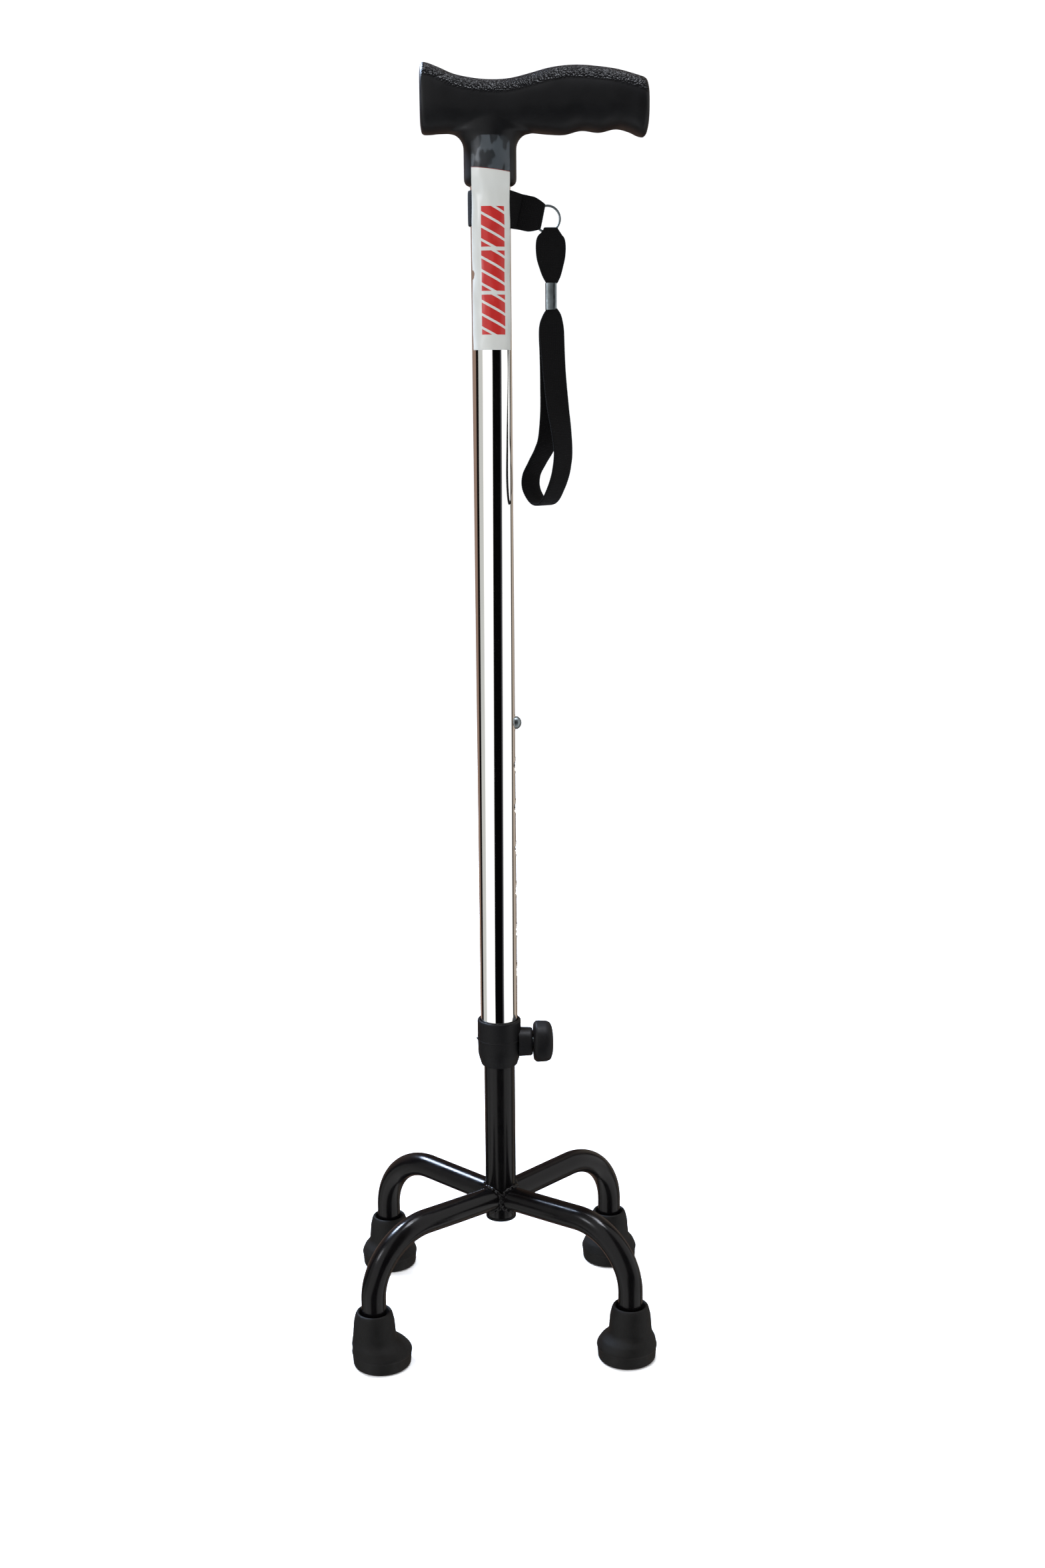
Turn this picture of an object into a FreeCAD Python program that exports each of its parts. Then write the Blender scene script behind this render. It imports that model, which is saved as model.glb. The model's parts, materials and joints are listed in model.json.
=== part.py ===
# Quad walking cane: four-footed base, telescopic shaft with a snap button, side-knob lock collar,
# moulded handle and a wrist strap hung on a split ring.
# Millimetres. +Z is up, z = 0 is the floor, and the shaft's axis is the Z axis.
# +X points along the long arm of the handle, and -Y is the side that carries the label.
import FreeCAD
import Part
import math
import os

V = FreeCAD.Vector
X_AXIS = V(1, 0, 0)
Y_AXIS = V(0, 1, 0)
Z_AXIS = V(0, 0, 1)

# ---------------------------------------------------------------- driving dimensions
grip_z = 666.4            # underside of the handle's neck
button_z = 368.0          # snap button's axis, which is also the top adjustment hole
hub_z = 74.0              # height where the leg axes meet the shaft axis
knob_z = 173.0            # axis of the lock knob
foot_x = 71.8             # half the distance between feet, left to right
foot_y = 65.0             # half the distance between feet, front to back

# Shaft
tube_od = 22.2
tube_wall = 1.5
telescope_gap = 0.3       # radial, between the two tubes
running_gap = 0.05        # radial, at guides, the screw and the pad
stem_wall = 1.5
stem_drop = 13.6          # how far the stem reaches below the leg axes
stem_above_button = 24.0
hole_pitch = 25.0
hole_count = 7
hole_gap = 0.4            # radial, adjustment hole around the button

# Snap button and its leaf spring
button_r = 3.7
button_reach = 3.75       # how far the dome stands out of the outer tube
button_dome = 2.4
button_flange_r = 4.6
button_flange = 1.2
button_wall_gap = 0.1
spring_strip = 0.5
spring_width = 6.0
spring_bend_r = 3.0
spring_below = 35.0
spring_above = 8.0
spring_wall_gap = 0.15

# Legs, weld and feet
leg_od = 14.5
leg_wall = 1.2
leg_rise = 2.5            # degrees above level, going outward
leg_bend_r = 36.0
weld_height = 2.1
weld_reach = 3.4
tip_height = 33.0
tip_flange_r = 17.7
tip_flange_h = 8.7
tip_cone_h = 8.0
tip_neck_r = 12.0
tip_rim_r = 9.6
tip_edge = 1.0
tip_floor = 10.5          # rubber under the washer
tip_grooves = (6.0, 11.0) # inner radii of the tread grooves
tip_groove_w = 1.6
tip_groove_d = 1.2
washer_thick = 1.5
washer_hole_r = 2.5
press_gap = 0.02          # radial, where a piece is pushed home and stays

# End plugs of the stem
plug_shank = 9.0
plug_head = 2.0
guide_head = 3.0

# Lock collar, its insert and its clamp
collar_wall = 1.9
collar_above = 15.0       # above the knob's axis
collar_below = 13.5       # below the knob's axis
collar_taper = 7.0
collar_lip = 4.0
collar_mouth_wall = 1.2
seam_height = 0.35
seam_width = 0.8
seam_above = 2.2          # above the knob's axis
rim_notch = 1.6
bush_height = 4.0
boss_r = 8.6
boss_reach = 7.0          # beyond the collar
nut_across_flats = 10.0
nut_thick = 5.0
nut_cover = 1.0           # plastic over the nut's outer face
screw_r = 2.95
screw_passage = 0.35      # radial, screw in the plastic boss
pad_r = 3.6
pad_thick = 2.05
pad_hole_gap = 0.5
clamp_travel = 2.0
knob_gap = 0.4            # knob's back to the boss, tightened
knob_r = 12.5
knob_depth = 12.2
knob_bevel = 1.6
knob_round = 3.5
knob_dome = 1.0
knob_skin = 3.0           # plastic over the screw's head end

# Handle: heights are above the neck's underside
neck_wall = 3.4
neck_round = 4.4
neck_flare_r = 7.0
socket_depth = 41.5
arm_middle = 41.6         # where the arm is widest, at the neck
arm_beyond_neck = 0.7     # the arm's half width is this much more than the neck's radius
arm_section_power = 2.6
# x, underside, top, share of the half width
arm_stations = (
    (-37.9, 31.2, 60.2, 0.76),
    (-36.6, 28.2, 63.4, 0.88),
    (-34.0, 27.4, 64.2, 0.94),
    (-28.0, 27.7, 61.8, 0.98),
    (-20.0, 27.9, 58.6, 1.0),
    (-11.0, 28.0, 56.4, 1.0),
    (0.0, 28.0, 55.3, 1.0),
    (11.0, 28.0, 56.0, 1.0),
    (22.0, 28.1, 58.8, 1.0),
    (32.0, 27.2, 61.4, 1.0),
    (41.0, 27.2, 62.8, 1.0),
    (50.0, 29.3, 62.8, 1.0),
    (60.0, 28.2, 62.0, 1.0),
    (70.0, 30.0, 60.4, 1.0),
    (77.0, 28.2, 58.6, 0.99),
    (82.0, 26.2, 57.2, 0.97),
    (84.8, 26.8, 56.2, 0.92),
    (86.5, 30.2, 53.2, 0.80),
)

# Label film down the front
film = 0.3
film_gap = 0.08
label_half_chord = 10.5
label_top = 25.6          # above the neck's underside
label_bottom = -87.4
label_step = 8.0          # height over which the film comes in to the tube

# Webbing band, split ring, wrist strap and crimp
web = 1.5
web_width = 16.4
band_top = -3.4           # below the neck's underside
band_height = 19.0
tail_slope = 16.0         # degrees down, going outward
tail_reach = 16.5         # beyond the tube's wall
ring_reach = 20.1         # ring's centre beyond the tube's wall
ring_drop = 17.0
ring_r = 7.0
ring_wire_r = 0.65
ring_gap = 0.35
strap_shift = 2.0         # strap's centre beyond the ring's centre
fold_r = 2.95
fold_width = 8.0
strap_half_web = 8.3
shoulder_drop = 6.0       # below the ring's lowest wire, where the strap reaches its full width
crimp_top = 51.2          # below the neck's underside
crimp_height = 14.4
crimp_width = 7.0
crimp_depth = 5.6
crimp_wall = 0.6
# hand loop: x from the strap's centre, and drop below the crimp
loop_left = (
    (-2.8, 0.0), (-6.9, 5.9), (-7.2, 13.4), (-5.5, 27.4), (-4.8, 55.4), (-6.4, 70.4),
    (-8.8, 77.4), (-12.2, 84.4), (-16.0, 90.9), (-16.4, 98.4), (-13.2, 105.4), (-7.0, 108.3),
)
loop_right = (
    (2.8, 0.0), (6.1, 5.9), (6.6, 13.4), (6.5, 27.4), (7.8, 42.4), (9.4, 56.4),
    (10.4, 70.4), (10.8, 84.4), (9.6, 92.4), (7.2, 99.4), (3.4, 106.4), (-1.0, 108.3),
)
loop_inside = (
    (-0.6, 82.4), (-1.3, 91.2), (-2.0, 98.3), (-4.7, 102.8), (-7.2, 98.3), (-6.6, 91.2), (-3.4, 84.8),
)

QUARTER_STEPS = 7         # curve points in each quarter of a handle section

# ---------------------------------------------------------------- derived sizes
tube_r = tube_od / 2
tube_bore_r = tube_r - tube_wall
stem_r = tube_bore_r - telescope_gap
stem_bore_r = stem_r - stem_wall
leg_r = leg_od / 2
neck_r = tube_r + neck_wall
arm_half_width = neck_r + arm_beyond_neck
collar_r = tube_r + collar_wall
tail_end_x = tube_r + tail_reach
ring_x = tube_r + ring_reach
stem_foot_z = hub_z - stem_drop
stem_top_z = button_z + stem_above_button
collar_top_z = knob_z + collar_above
collar_foot_z = knob_z - collar_below
bush_foot_z = collar_foot_z + collar_lip
tube_foot_z = bush_foot_z + bush_height
tube_top_z = grip_z + socket_depth
leg_reach = math.hypot(foot_x, foot_y)
washer_foot_z = tip_floor
leg_foot_z = tip_floor + washer_thick
ring_z = grip_z - ring_drop
strap_x = ring_x + strap_shift
swing_z = ring_z - ring_r
boss_end_x = collar_r + boss_reach
nut_end_x = boss_end_x - nut_cover
nut_start_x = nut_end_x - nut_thick
pad_start_x = stem_r + running_gap
screw_start_x = pad_start_x + pad_thick
knob_start_x = boss_end_x + knob_gap
knob_end_x = knob_start_x + knob_depth
button_tip_x = tube_r + button_reach


# ---------------------------------------------------------------- helpers
def cylinder_z(radius, low, high, x=0.0, y=0.0):
    return Part.makeCylinder(radius, high - low, V(x, y, low), Z_AXIS)


def cylinder_x(radius, start, end, z):
    return Part.makeCylinder(radius, end - start, V(start, 0, z), X_AXIS)


def pipe_z(outer, inner, low, high):
    return cylinder_z(outer, low, high).cut(cylinder_z(inner, low, high))


def prism(points, low, high):
    """Closed outline given as (x, z) pairs, made solid between two y values."""
    corners = [V(x, low, z) for x, z in points]
    face = Part.Face(Part.makePolygon(corners + corners[:1]))
    return face.extrude(V(0, high - low, 0))


def turned(edges, axis_point, axis):
    return Part.Face(Part.Wire(edges)).revolve(axis_point, axis, 360)


def dome_middle(edge_r, height):
    """Point half way round a spherical dome's section: (distance below the top, distance from the axis)."""
    sphere_r = (edge_r ** 2 + height ** 2) / (2 * height)
    half_angle = math.asin(edge_r / sphere_r) / 2
    return sphere_r * (1 - math.cos(half_angle)), sphere_r * math.sin(half_angle)


def line(a, b):
    return Part.LineSegment(a, b).toShape()


def chain(points):
    """Straight edges that join the points in turn and close the outline."""
    return [line(a, b) for a, b in zip(points, points[1:] + points[:1])]


def rz(radius, height):
    return V(radius, 0, height)


def save(name, shape):
    shape.exportStep("parts/" + name + ".step")


# ---------------------------------------------------------------- base: legs and feet
def leg_path():
    """Shaft axis to foot in the plane y = 0: a rising run, one bend, and a drop into the tip."""
    rise = math.radians(leg_rise)
    corner_z = hub_z + leg_reach * math.tan(rise)
    turn = math.pi / 2 + rise
    tangent = leg_bend_r * math.tan(turn / 2)
    start = V(0, 0, hub_z)
    bend_in = V(leg_reach - tangent * math.cos(rise), 0, corner_z - tangent * math.sin(rise))
    bend_out = V(leg_reach, 0, corner_z - tangent)
    centre = V(leg_reach - leg_bend_r, 0, corner_z - tangent)
    half = math.radians(90) - turn / 2
    middle = centre + V(leg_bend_r * math.cos(turn / 2), 0, leg_bend_r * math.cos(half))
    end = V(leg_reach, 0, leg_foot_z)
    return [line(start, bend_in), Part.Arc(bend_in, middle, bend_out).toShape(), line(bend_out, end)]


def swept_round(radius):
    edges = leg_path()
    along = V(math.cos(math.radians(leg_rise)), 0, math.sin(math.radians(leg_rise)))
    ring = Part.Wire(Part.makeCircle(radius, V(0, 0, hub_z), along))
    return Part.Wire(edges).makePipeShell([ring], True, False)


def to_quadrant(shape, side_x, side_y):
    """Turns a shape built along +X to point at one foot, and mitres it on the planes between legs."""
    turned_shape = shape.copy()
    angle = math.degrees(math.atan2(side_y * foot_y, side_x * foot_x))
    turned_shape.rotate(V(0, 0, 0), Z_AXIS, angle)
    size = 2 * leg_reach
    corner = V(0 if side_x > 0 else -size, 0 if side_y > 0 else -size, 0)
    return turned_shape.common(Part.makeBox(size, size, size, corner))


def leg(side_x, side_y, hollow=True):
    body = swept_round(leg_r)
    if hollow:
        body = body.cut(swept_round(leg_r - leg_wall))
    body = body.cut(cylinder_z(stem_r, stem_foot_z, stem_foot_z + 4 * leg_od))
    return to_quadrant(body, side_x, side_y)


def weld(legs):
    """One bead that fills the corners between the four legs and the stem."""
    rise = math.radians(leg_rise)
    along = V(math.cos(rise), 0, math.sin(rise))
    start = stem_r - 1.5
    length = weld_reach + 1.5
    bead = None
    for side_x, side_y in SIDES.values():
        cone = Part.makeCone(leg_r + weld_height, leg_r + press_gap, length, V(0, 0, hub_z) + along * start, along)
        piece = to_quadrant(cone, side_x, side_y)
        bead = piece if bead is None else bead.fuse(piece)
    bead = bead.cut(cylinder_z(stem_r, stem_foot_z, stem_foot_z + 4 * leg_od))
    for solid_leg in legs:
        bead = bead.cut(solid_leg)
    return bead


def foot_tip(x, y):
    """Rubber tip: flat flange, cone, barrel neck with a rolled rim, blind socket and tread grooves."""
    cone_top = tip_flange_h + tip_cone_h
    barrel = (cone_top + tip_height) / 2
    outline = [
        line(rz(0, 0), rz(tip_flange_r - tip_edge, 0)),
        line(rz(tip_flange_r - tip_edge, 0), rz(tip_flange_r, tip_edge)),
        line(rz(tip_flange_r, tip_edge), rz(tip_flange_r, tip_flange_h)),
        line(rz(tip_flange_r, tip_flange_h), rz(tip_neck_r, cone_top)),
        Part.Arc(rz(tip_neck_r, cone_top), rz(tip_neck_r, barrel), rz(tip_rim_r, tip_height)).toShape(),
        line(rz(tip_rim_r, tip_height), rz(0, tip_height)),
        line(rz(0, tip_height), rz(0, 0)),
    ]
    tip = turned(outline, V(0, 0, 0), Z_AXIS)
    tip = tip.cut(cylinder_z(leg_r + press_gap, washer_foot_z, tip_height + 1))
    for inner in tip_grooves:
        tip = tip.cut(pipe_z(inner + tip_groove_w, inner, 0, tip_groove_d))
    tip.translate(V(x, y, 0))
    return tip


def tip_washer(x, y):
    washer = pipe_z(leg_r, washer_hole_r, washer_foot_z, leg_foot_z)
    washer.translate(V(x, y, 0))
    return washer


# ---------------------------------------------------------------- base: stem and its plugs
def stem_tube():
    low = stem_foot_z + plug_head
    stem = pipe_z(stem_r, stem_bore_r, low, stem_top_z)
    return stem.cut(cylinder_x(button_r + hole_gap, 0, tube_r, button_z))


def stem_end_cap():
    shank = cylinder_z(stem_bore_r - press_gap, stem_foot_z, stem_foot_z + plug_head + plug_shank)
    head = cylinder_z(stem_r, stem_foot_z, stem_foot_z + plug_head)
    low_edges = [e for e in head.Edges if e.BoundBox.ZMax < stem_foot_z + plug_head / 2]
    head = head.makeChamfer(plug_head / 3, low_edges)
    return head.fuse(shank)


def stem_top_guide():
    shank = cylinder_z(stem_bore_r - press_gap, stem_top_z - plug_shank, stem_top_z)
    head = cylinder_z(tube_bore_r - running_gap, stem_top_z, stem_top_z + guide_head)
    return head.fuse(shank)


# ---------------------------------------------------------------- snap button
def flange_face_x():
    """Where the flange's flat face meets the round wall inside the stem."""
    return math.sqrt(stem_bore_r ** 2 - button_flange_r ** 2) - button_wall_gap


def snap_button():
    face = flange_face_x()
    dome_start = button_tip_x - button_dome
    below, out = dome_middle(button_r, button_dome)
    mid = V(button_tip_x - below, 0, button_z + out)
    points = [
        V(face - button_flange, 0, button_z),
        V(face - button_flange, 0, button_z + button_flange_r),
        V(face, 0, button_z + button_flange_r),
        V(face, 0, button_z + button_r),
        V(dome_start, 0, button_z + button_r),
    ]
    tip = V(button_tip_x, 0, button_z)
    edges = [line(a, b) for a, b in zip(points, points[1:])]
    edges.append(Part.Arc(points[-1], mid, tip).toShape())
    edges.append(line(tip, points[0]))
    return turned(edges, V(0, 0, button_z), X_AXIS)


def button_spring():
    """V-shaped leaf: one arm along the stem's wall, the other behind the button."""
    half = spring_width / 2
    foot = button_z - spring_below
    top = button_z + spring_above
    wall_x = -math.sqrt(stem_bore_r ** 2 - half ** 2) + spring_wall_gap
    push_x = flange_face_x() - button_flange - button_wall_gap
    inner = spring_bend_r - spring_strip
    fixed = prism([(-spring_bend_r, foot), (-inner, foot), (wall_x + spring_strip, top), (wall_x, top)], -half, half)
    moving = prism([(inner, foot), (spring_bend_r, foot), (push_x, top), (push_x - spring_strip, top)], -half, half)
    start = V(0, -half, foot)
    bend = Part.makeCylinder(spring_bend_r, spring_width, start, Y_AXIS)
    bend = bend.cut(Part.makeCylinder(inner, spring_width, start, Y_AXIS))
    below = Part.makeBox(
        4 * spring_bend_r, spring_width, 2 * spring_bend_r, V(-2 * spring_bend_r, -half, foot - 2 * spring_bend_r)
    )
    return bend.common(below).fuse([fixed, moving])


# ---------------------------------------------------------------- upper shaft
def upper_tube():
    tube = pipe_z(tube_r, tube_bore_r, tube_foot_z, tube_top_z)
    for step in range(hole_count):
        z = button_z - step * hole_pitch
        tube = tube.cut(cylinder_x(button_r + hole_gap, 0, 2 * tube_r, z))
    return tube.cut(cylinder_x(pad_r + pad_hole_gap, 0, 2 * tube_r, knob_z))


# ---------------------------------------------------------------- lock collar and clamp
def hex_prism(across_flats, start, end, z):
    corner_r = across_flats / math.sqrt(3)
    corners = []
    for i in range(6):
        turn = math.radians(60 * i)
        corners.append(V(start, corner_r * math.cos(turn), z + corner_r * math.sin(turn)))
    return Part.Face(Part.makePolygon(corners + corners[:1])).extrude(V(end - start, 0, 0))


def lock_collar():
    mouth_r = tube_bore_r + collar_mouth_wall
    taper_z = collar_foot_z + collar_taper
    taper_mid = rz(mouth_r + 0.72 * (collar_r - mouth_r), collar_foot_z + 0.32 * collar_taper)
    edge = 0.6
    outline = [
        line(rz(0, collar_foot_z), rz(mouth_r, collar_foot_z)),
        Part.Arc(rz(mouth_r, collar_foot_z), taper_mid, rz(collar_r, taper_z)).toShape(),
        line(rz(collar_r, taper_z), rz(collar_r, collar_top_z - edge)),
        line(rz(collar_r, collar_top_z - edge), rz(collar_r - edge, collar_top_z)),
        line(rz(collar_r - edge, collar_top_z), rz(0, collar_top_z)),
        line(rz(0, collar_top_z), rz(0, collar_foot_z)),
    ]
    collar = turned(outline, V(0, 0, 0), Z_AXIS)
    seam_low = knob_z + seam_above
    collar = collar.fuse(cylinder_z(collar_r + seam_height, seam_low, seam_low + seam_width))
    boss = cylinder_x(boss_r, 0, boss_end_x, knob_z)
    collar = collar.fuse(boss)
    collar = collar.cut(cylinder_z(tube_r + running_gap, bush_foot_z, collar_top_z + 1))
    collar = collar.cut(cylinder_z(tube_bore_r, collar_foot_z - 1, bush_foot_z))
    collar = collar.cut(cylinder_x(screw_r + screw_passage, 0, boss_end_x + 1, knob_z))
    collar = collar.cut(cylinder_x(pad_r + pad_hole_gap, 0, nut_start_x, knob_z))
    collar = collar.cut(hex_prism(nut_across_flats, nut_start_x, nut_end_x, knob_z))
    notch = Part.makeBox(2 * collar_r, rim_notch, rim_notch, V(0, -rim_notch / 2, collar_top_z - rim_notch))
    notch.rotate(V(0, 0, 0), Z_AXIS, 25)
    return collar.cut(notch)


def collar_nut():
    nut = hex_prism(nut_across_flats, nut_start_x, nut_end_x, knob_z)
    return nut.cut(cylinder_x(screw_r + running_gap, nut_start_x, nut_end_x, knob_z))


def knob_head():
    back = knob_start_x
    front = knob_end_x
    points = [
        V(back, 0, knob_z),
        V(back, 0, knob_z + knob_r - knob_bevel),
        V(back + knob_bevel, 0, knob_z + knob_r),
        V(front - knob_dome - knob_round, 0, knob_z + knob_r),
    ]
    corner = V(front - knob_dome, 0, knob_z + knob_r - knob_round)
    swing = knob_round * math.sqrt(0.5)
    corner_mid = V(front - knob_dome - knob_round + swing, 0, knob_z + knob_r - knob_round + swing)
    below, out = dome_middle(knob_r - knob_round, knob_dome)
    dome_mid = V(front - below, 0, knob_z + out)
    edges = [line(a, b) for a, b in zip(points, points[1:])]
    edges.append(Part.Arc(points[-1], corner_mid, corner).toShape())
    edges.append(Part.Arc(corner, dome_mid, V(front, 0, knob_z)).toShape())
    edges.append(line(V(front, 0, knob_z), points[0]))
    head = turned(edges, V(0, 0, knob_z), X_AXIS)
    return head.cut(cylinder_x(screw_r, back - 1, front - knob_skin, knob_z))


# ---------------------------------------------------------------- handle and label
def arm_section(x, low, high, half_width):
    """Superellipse in the plane at x, as four smooth quarter curves."""
    middle = (low + high) / 2
    half_height = (high - low) / 2
    power = 2 / arm_section_power
    quarters = []
    for quarter in range(4):
        points = []
        for step in range(QUARTER_STEPS + 1):
            turn = math.pi / 2 * (quarter + step / QUARTER_STEPS)
            c = round(math.cos(turn), 12)
            s = round(math.sin(turn), 12)
            y = half_width * math.copysign(abs(c) ** power, c)
            z = middle + half_height * math.copysign(abs(s) ** power, s)
            points.append(V(x, y, z))
        ends = []
        for corner in (quarter, quarter + 1):
            turn = math.pi / 2 * corner
            ends.append(V(0, -round(math.sin(turn)), round(math.cos(turn))))
        curve = Part.BSplineCurve()
        curve.interpolate(Points=points, InitialTangent=ends[0], FinalTangent=ends[1])
        quarters.append(curve.toShape())
    return Part.Wire(quarters)


def handle():
    """Lofted arm on a round neck, with a fillet where they meet and a blind socket for the tube."""
    sections = []
    for x, low, top, share in arm_stations:
        sections.append(arm_section(x, grip_z + low, grip_z + top, arm_half_width * share))
    arm = Part.makeLoft(sections, True, False)
    foot = rz(neck_r - neck_round, grip_z)
    side = rz(neck_r, grip_z + neck_round)
    inset = neck_round * (1 - math.sqrt(0.5))
    join = rz(neck_r, grip_z + arm_middle)
    neck_outline = [
        line(rz(0, grip_z), foot),
        Part.Arc(foot, rz(neck_r - inset, grip_z + inset), side).toShape(),
        line(side, join),
        line(join, rz(0, grip_z + arm_middle)),
        line(rz(0, grip_z + arm_middle), rz(0, grip_z)),
    ]
    body = arm.fuse(turned(neck_outline, V(0, 0, 0), Z_AXIS)).Solids[0]
    meeting = []
    for edge in body.Edges:
        box = edge.BoundBox
        above_round = box.ZMin > grip_z + neck_round + 1
        if above_round and box.ZMax < grip_z + arm_middle + 1 and max(-box.XMin, box.XMax) < neck_r + 1:
            meeting.append(edge)
    body = body.makeFillet(neck_flare_r, meeting)
    return body.cut(cylinder_z(tube_r + press_gap, grip_z - 1, tube_top_z))


def label(grip):
    """Film down the front: over the neck, over the webbing band, then in to the tube."""
    neck = neck_r + film_gap
    over_band = tube_r + press_gap + web + film_gap
    on_tube = tube_r + film_gap
    band_low = band_top - band_height
    inside = [
        (neck, label_top),
        (neck, neck_round + 1),
        (over_band, band_top + 0.5),
        (over_band, band_low - 0.5),
        (on_tube, band_low - label_step),
        (on_tube, label_bottom),
    ]
    outside = [(r + film, z) for r, z in reversed(inside)]
    points = [rz(r, grip_z + z) for r, z in inside + outside]
    skin = turned(chain(points), V(0, 0, 0), Z_AXIS)
    reach = 2 * neck
    window = Part.makeBox(2 * label_half_chord, reach, tube_top_z, V(-label_half_chord, -reach, 0))
    return skin.common(window).cut(grip)


# ---------------------------------------------------------------- strap
def ring_solid(section_r):
    return Part.makeTorus(ring_r, section_r, V(ring_x, 0, ring_z), Y_AXIS)


def strap_band():
    """Webbing sewn round the tube, with a doubled tail whose fold has a round channel for the ring."""
    top = grip_z + band_top
    low = top - band_height
    bore = cylinder_z(tube_r + press_gap, low - 30, top + 30)
    band = cylinder_z(tube_r + press_gap + web, low, top)
    layer = web + ring_wire_r + ring_gap
    middle = (top + low) / 2
    length = (tail_end_x - tube_r) / math.cos(math.radians(tail_slope)) + web
    tail = Part.makeBox(length, 2 * web, web_width, V(tube_r - web, -web, middle - web_width / 2))
    fold_length = tail_end_x - (ring_x - ring_r) + 2 * web
    fold_start = tube_r - web + length - fold_length
    fold = Part.makeBox(fold_length, 2 * layer, web_width, V(fold_start, -layer, middle - web_width / 2))
    tail = tail.fuse(fold)
    tail.rotate(V(tube_r, 0, middle), Y_AXIS, tail_slope)
    return band.fuse(tail).cut(bore).cut(ring_solid(ring_wire_r + ring_gap))


def strap_prism(points, top, half_depth):
    return prism([(strap_x + x, top - drop) for x, drop in points], -half_depth, half_depth)


def wrist_strap():
    """Webbing folded over the ring, gathered in the crimp, and opened into the hand loop below it."""
    half_fold = fold_width / 2
    core_x = crimp_width / 2 - crimp_wall - press_gap
    core_y = crimp_depth / 2 - crimp_wall - press_gap
    crimp_high_z = grip_z - crimp_top
    crimp_low_z = crimp_high_z - crimp_height
    crimp_drop = swing_z - crimp_high_z
    shoulder = [
        (half_fold, 0.0), (strap_half_web, shoulder_drop), (strap_half_web, 2 * shoulder_drop),
        (core_x + web, crimp_drop),
    ]
    mirrored = [(-x, drop) for x, drop in reversed(shoulder)]
    upper = strap_prism(shoulder + mirrored, swing_z, web)
    fold = cylinder_x(fold_r, strap_x - half_fold, strap_x + half_fold, swing_z)
    core = Part.makeBox(2 * core_x, 2 * core_y, crimp_height, V(strap_x - core_x, -core_y, crimp_low_z))
    lower = strap_prism(loop_left + tuple(reversed(loop_right)), crimp_low_z, 1.5 * web)
    lower = lower.cut(strap_prism(loop_inside, crimp_low_z, 2 * web))
    body = upper.fuse([fold, core, lower])
    swings = []
    reach = ring_r - 1.0
    for i in range(9):
        x = -reach + 2 * reach * i / 8
        swings.append(V(ring_x + x, 0, swing_z + ring_r - math.sqrt(ring_r ** 2 - x ** 2) + ring_wire_r + ring_gap))
    first = V(swings[0].x, 0, swing_z)
    last = V(swings[-1].x, 0, swing_z)
    passage = turned(chain([first] + swings + [last]), first, X_AXIS)
    return body.cut(passage)


def strap_crimp():
    low = grip_z - crimp_top - crimp_height
    outer = Part.makeBox(crimp_width, crimp_depth, crimp_height, V(strap_x - crimp_width / 2, -crimp_depth / 2, low))
    outer = outer.makeFillet(1.2, [e for e in outer.Edges if abs(e.tangentAt(e.FirstParameter).z) > 0.9])
    inner = Part.makeBox(
        crimp_width - 2 * crimp_wall,
        crimp_depth - 2 * crimp_wall,
        crimp_height,
        V(strap_x - crimp_width / 2 + crimp_wall, -crimp_depth / 2 + crimp_wall, low),
    )
    return outer.cut(inner)


# ---------------------------------------------------------------- build
SIDES = {
    "front_left": (-1, -1),
    "front_right": (1, -1),
    "back_left": (-1, 1),
    "back_right": (1, 1),
}


def main():
    os.makedirs("parts", exist_ok=True)
    washers = []
    solid_legs = []
    for place, (side_x, side_y) in SIDES.items():
        x = side_x * foot_x
        y = side_y * foot_y
        save("leg_" + place, leg(side_x, side_y))
        save("foot_tip_" + place, foot_tip(x, y))
        washers.append(tip_washer(x, y))
        solid_legs.append(leg(side_x, side_y, hollow=False))
    save("tip_washers", Part.makeCompound(washers))
    save("hub_weld", weld(solid_legs))
    save("stem_tube", stem_tube())
    save("stem_end_cap", stem_end_cap())
    save("stem_top_guide", stem_top_guide())
    save("button_spring", button_spring())
    save("snap_button", snap_button())

    grip = handle()
    save("handle", grip)
    save("upper_tube", upper_tube())
    save("label", label(grip))
    save("lock_collar", lock_collar())
    save("collar_nut", collar_nut())
    save("guide_bush", pipe_z(tube_r, stem_r + running_gap, bush_foot_z, tube_foot_z))
    save("clamp_pad", cylinder_x(pad_r, pad_start_x, screw_start_x, knob_z))
    save("knob_head", knob_head())
    save("knob_screw", cylinder_x(screw_r, screw_start_x, knob_end_x - knob_skin, knob_z))

    save("strap_band", strap_band())
    save("split_ring", ring_solid(ring_wire_r))
    save("wrist_strap", wrist_strap())
    save("strap_crimp", strap_crimp())


main()
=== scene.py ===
import json
import math

import bmesh
import bpy
import numpy as np
from bpy.props import FloatProperty, FloatVectorProperty, PointerProperty
from mathutils import Matrix, Vector


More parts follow.
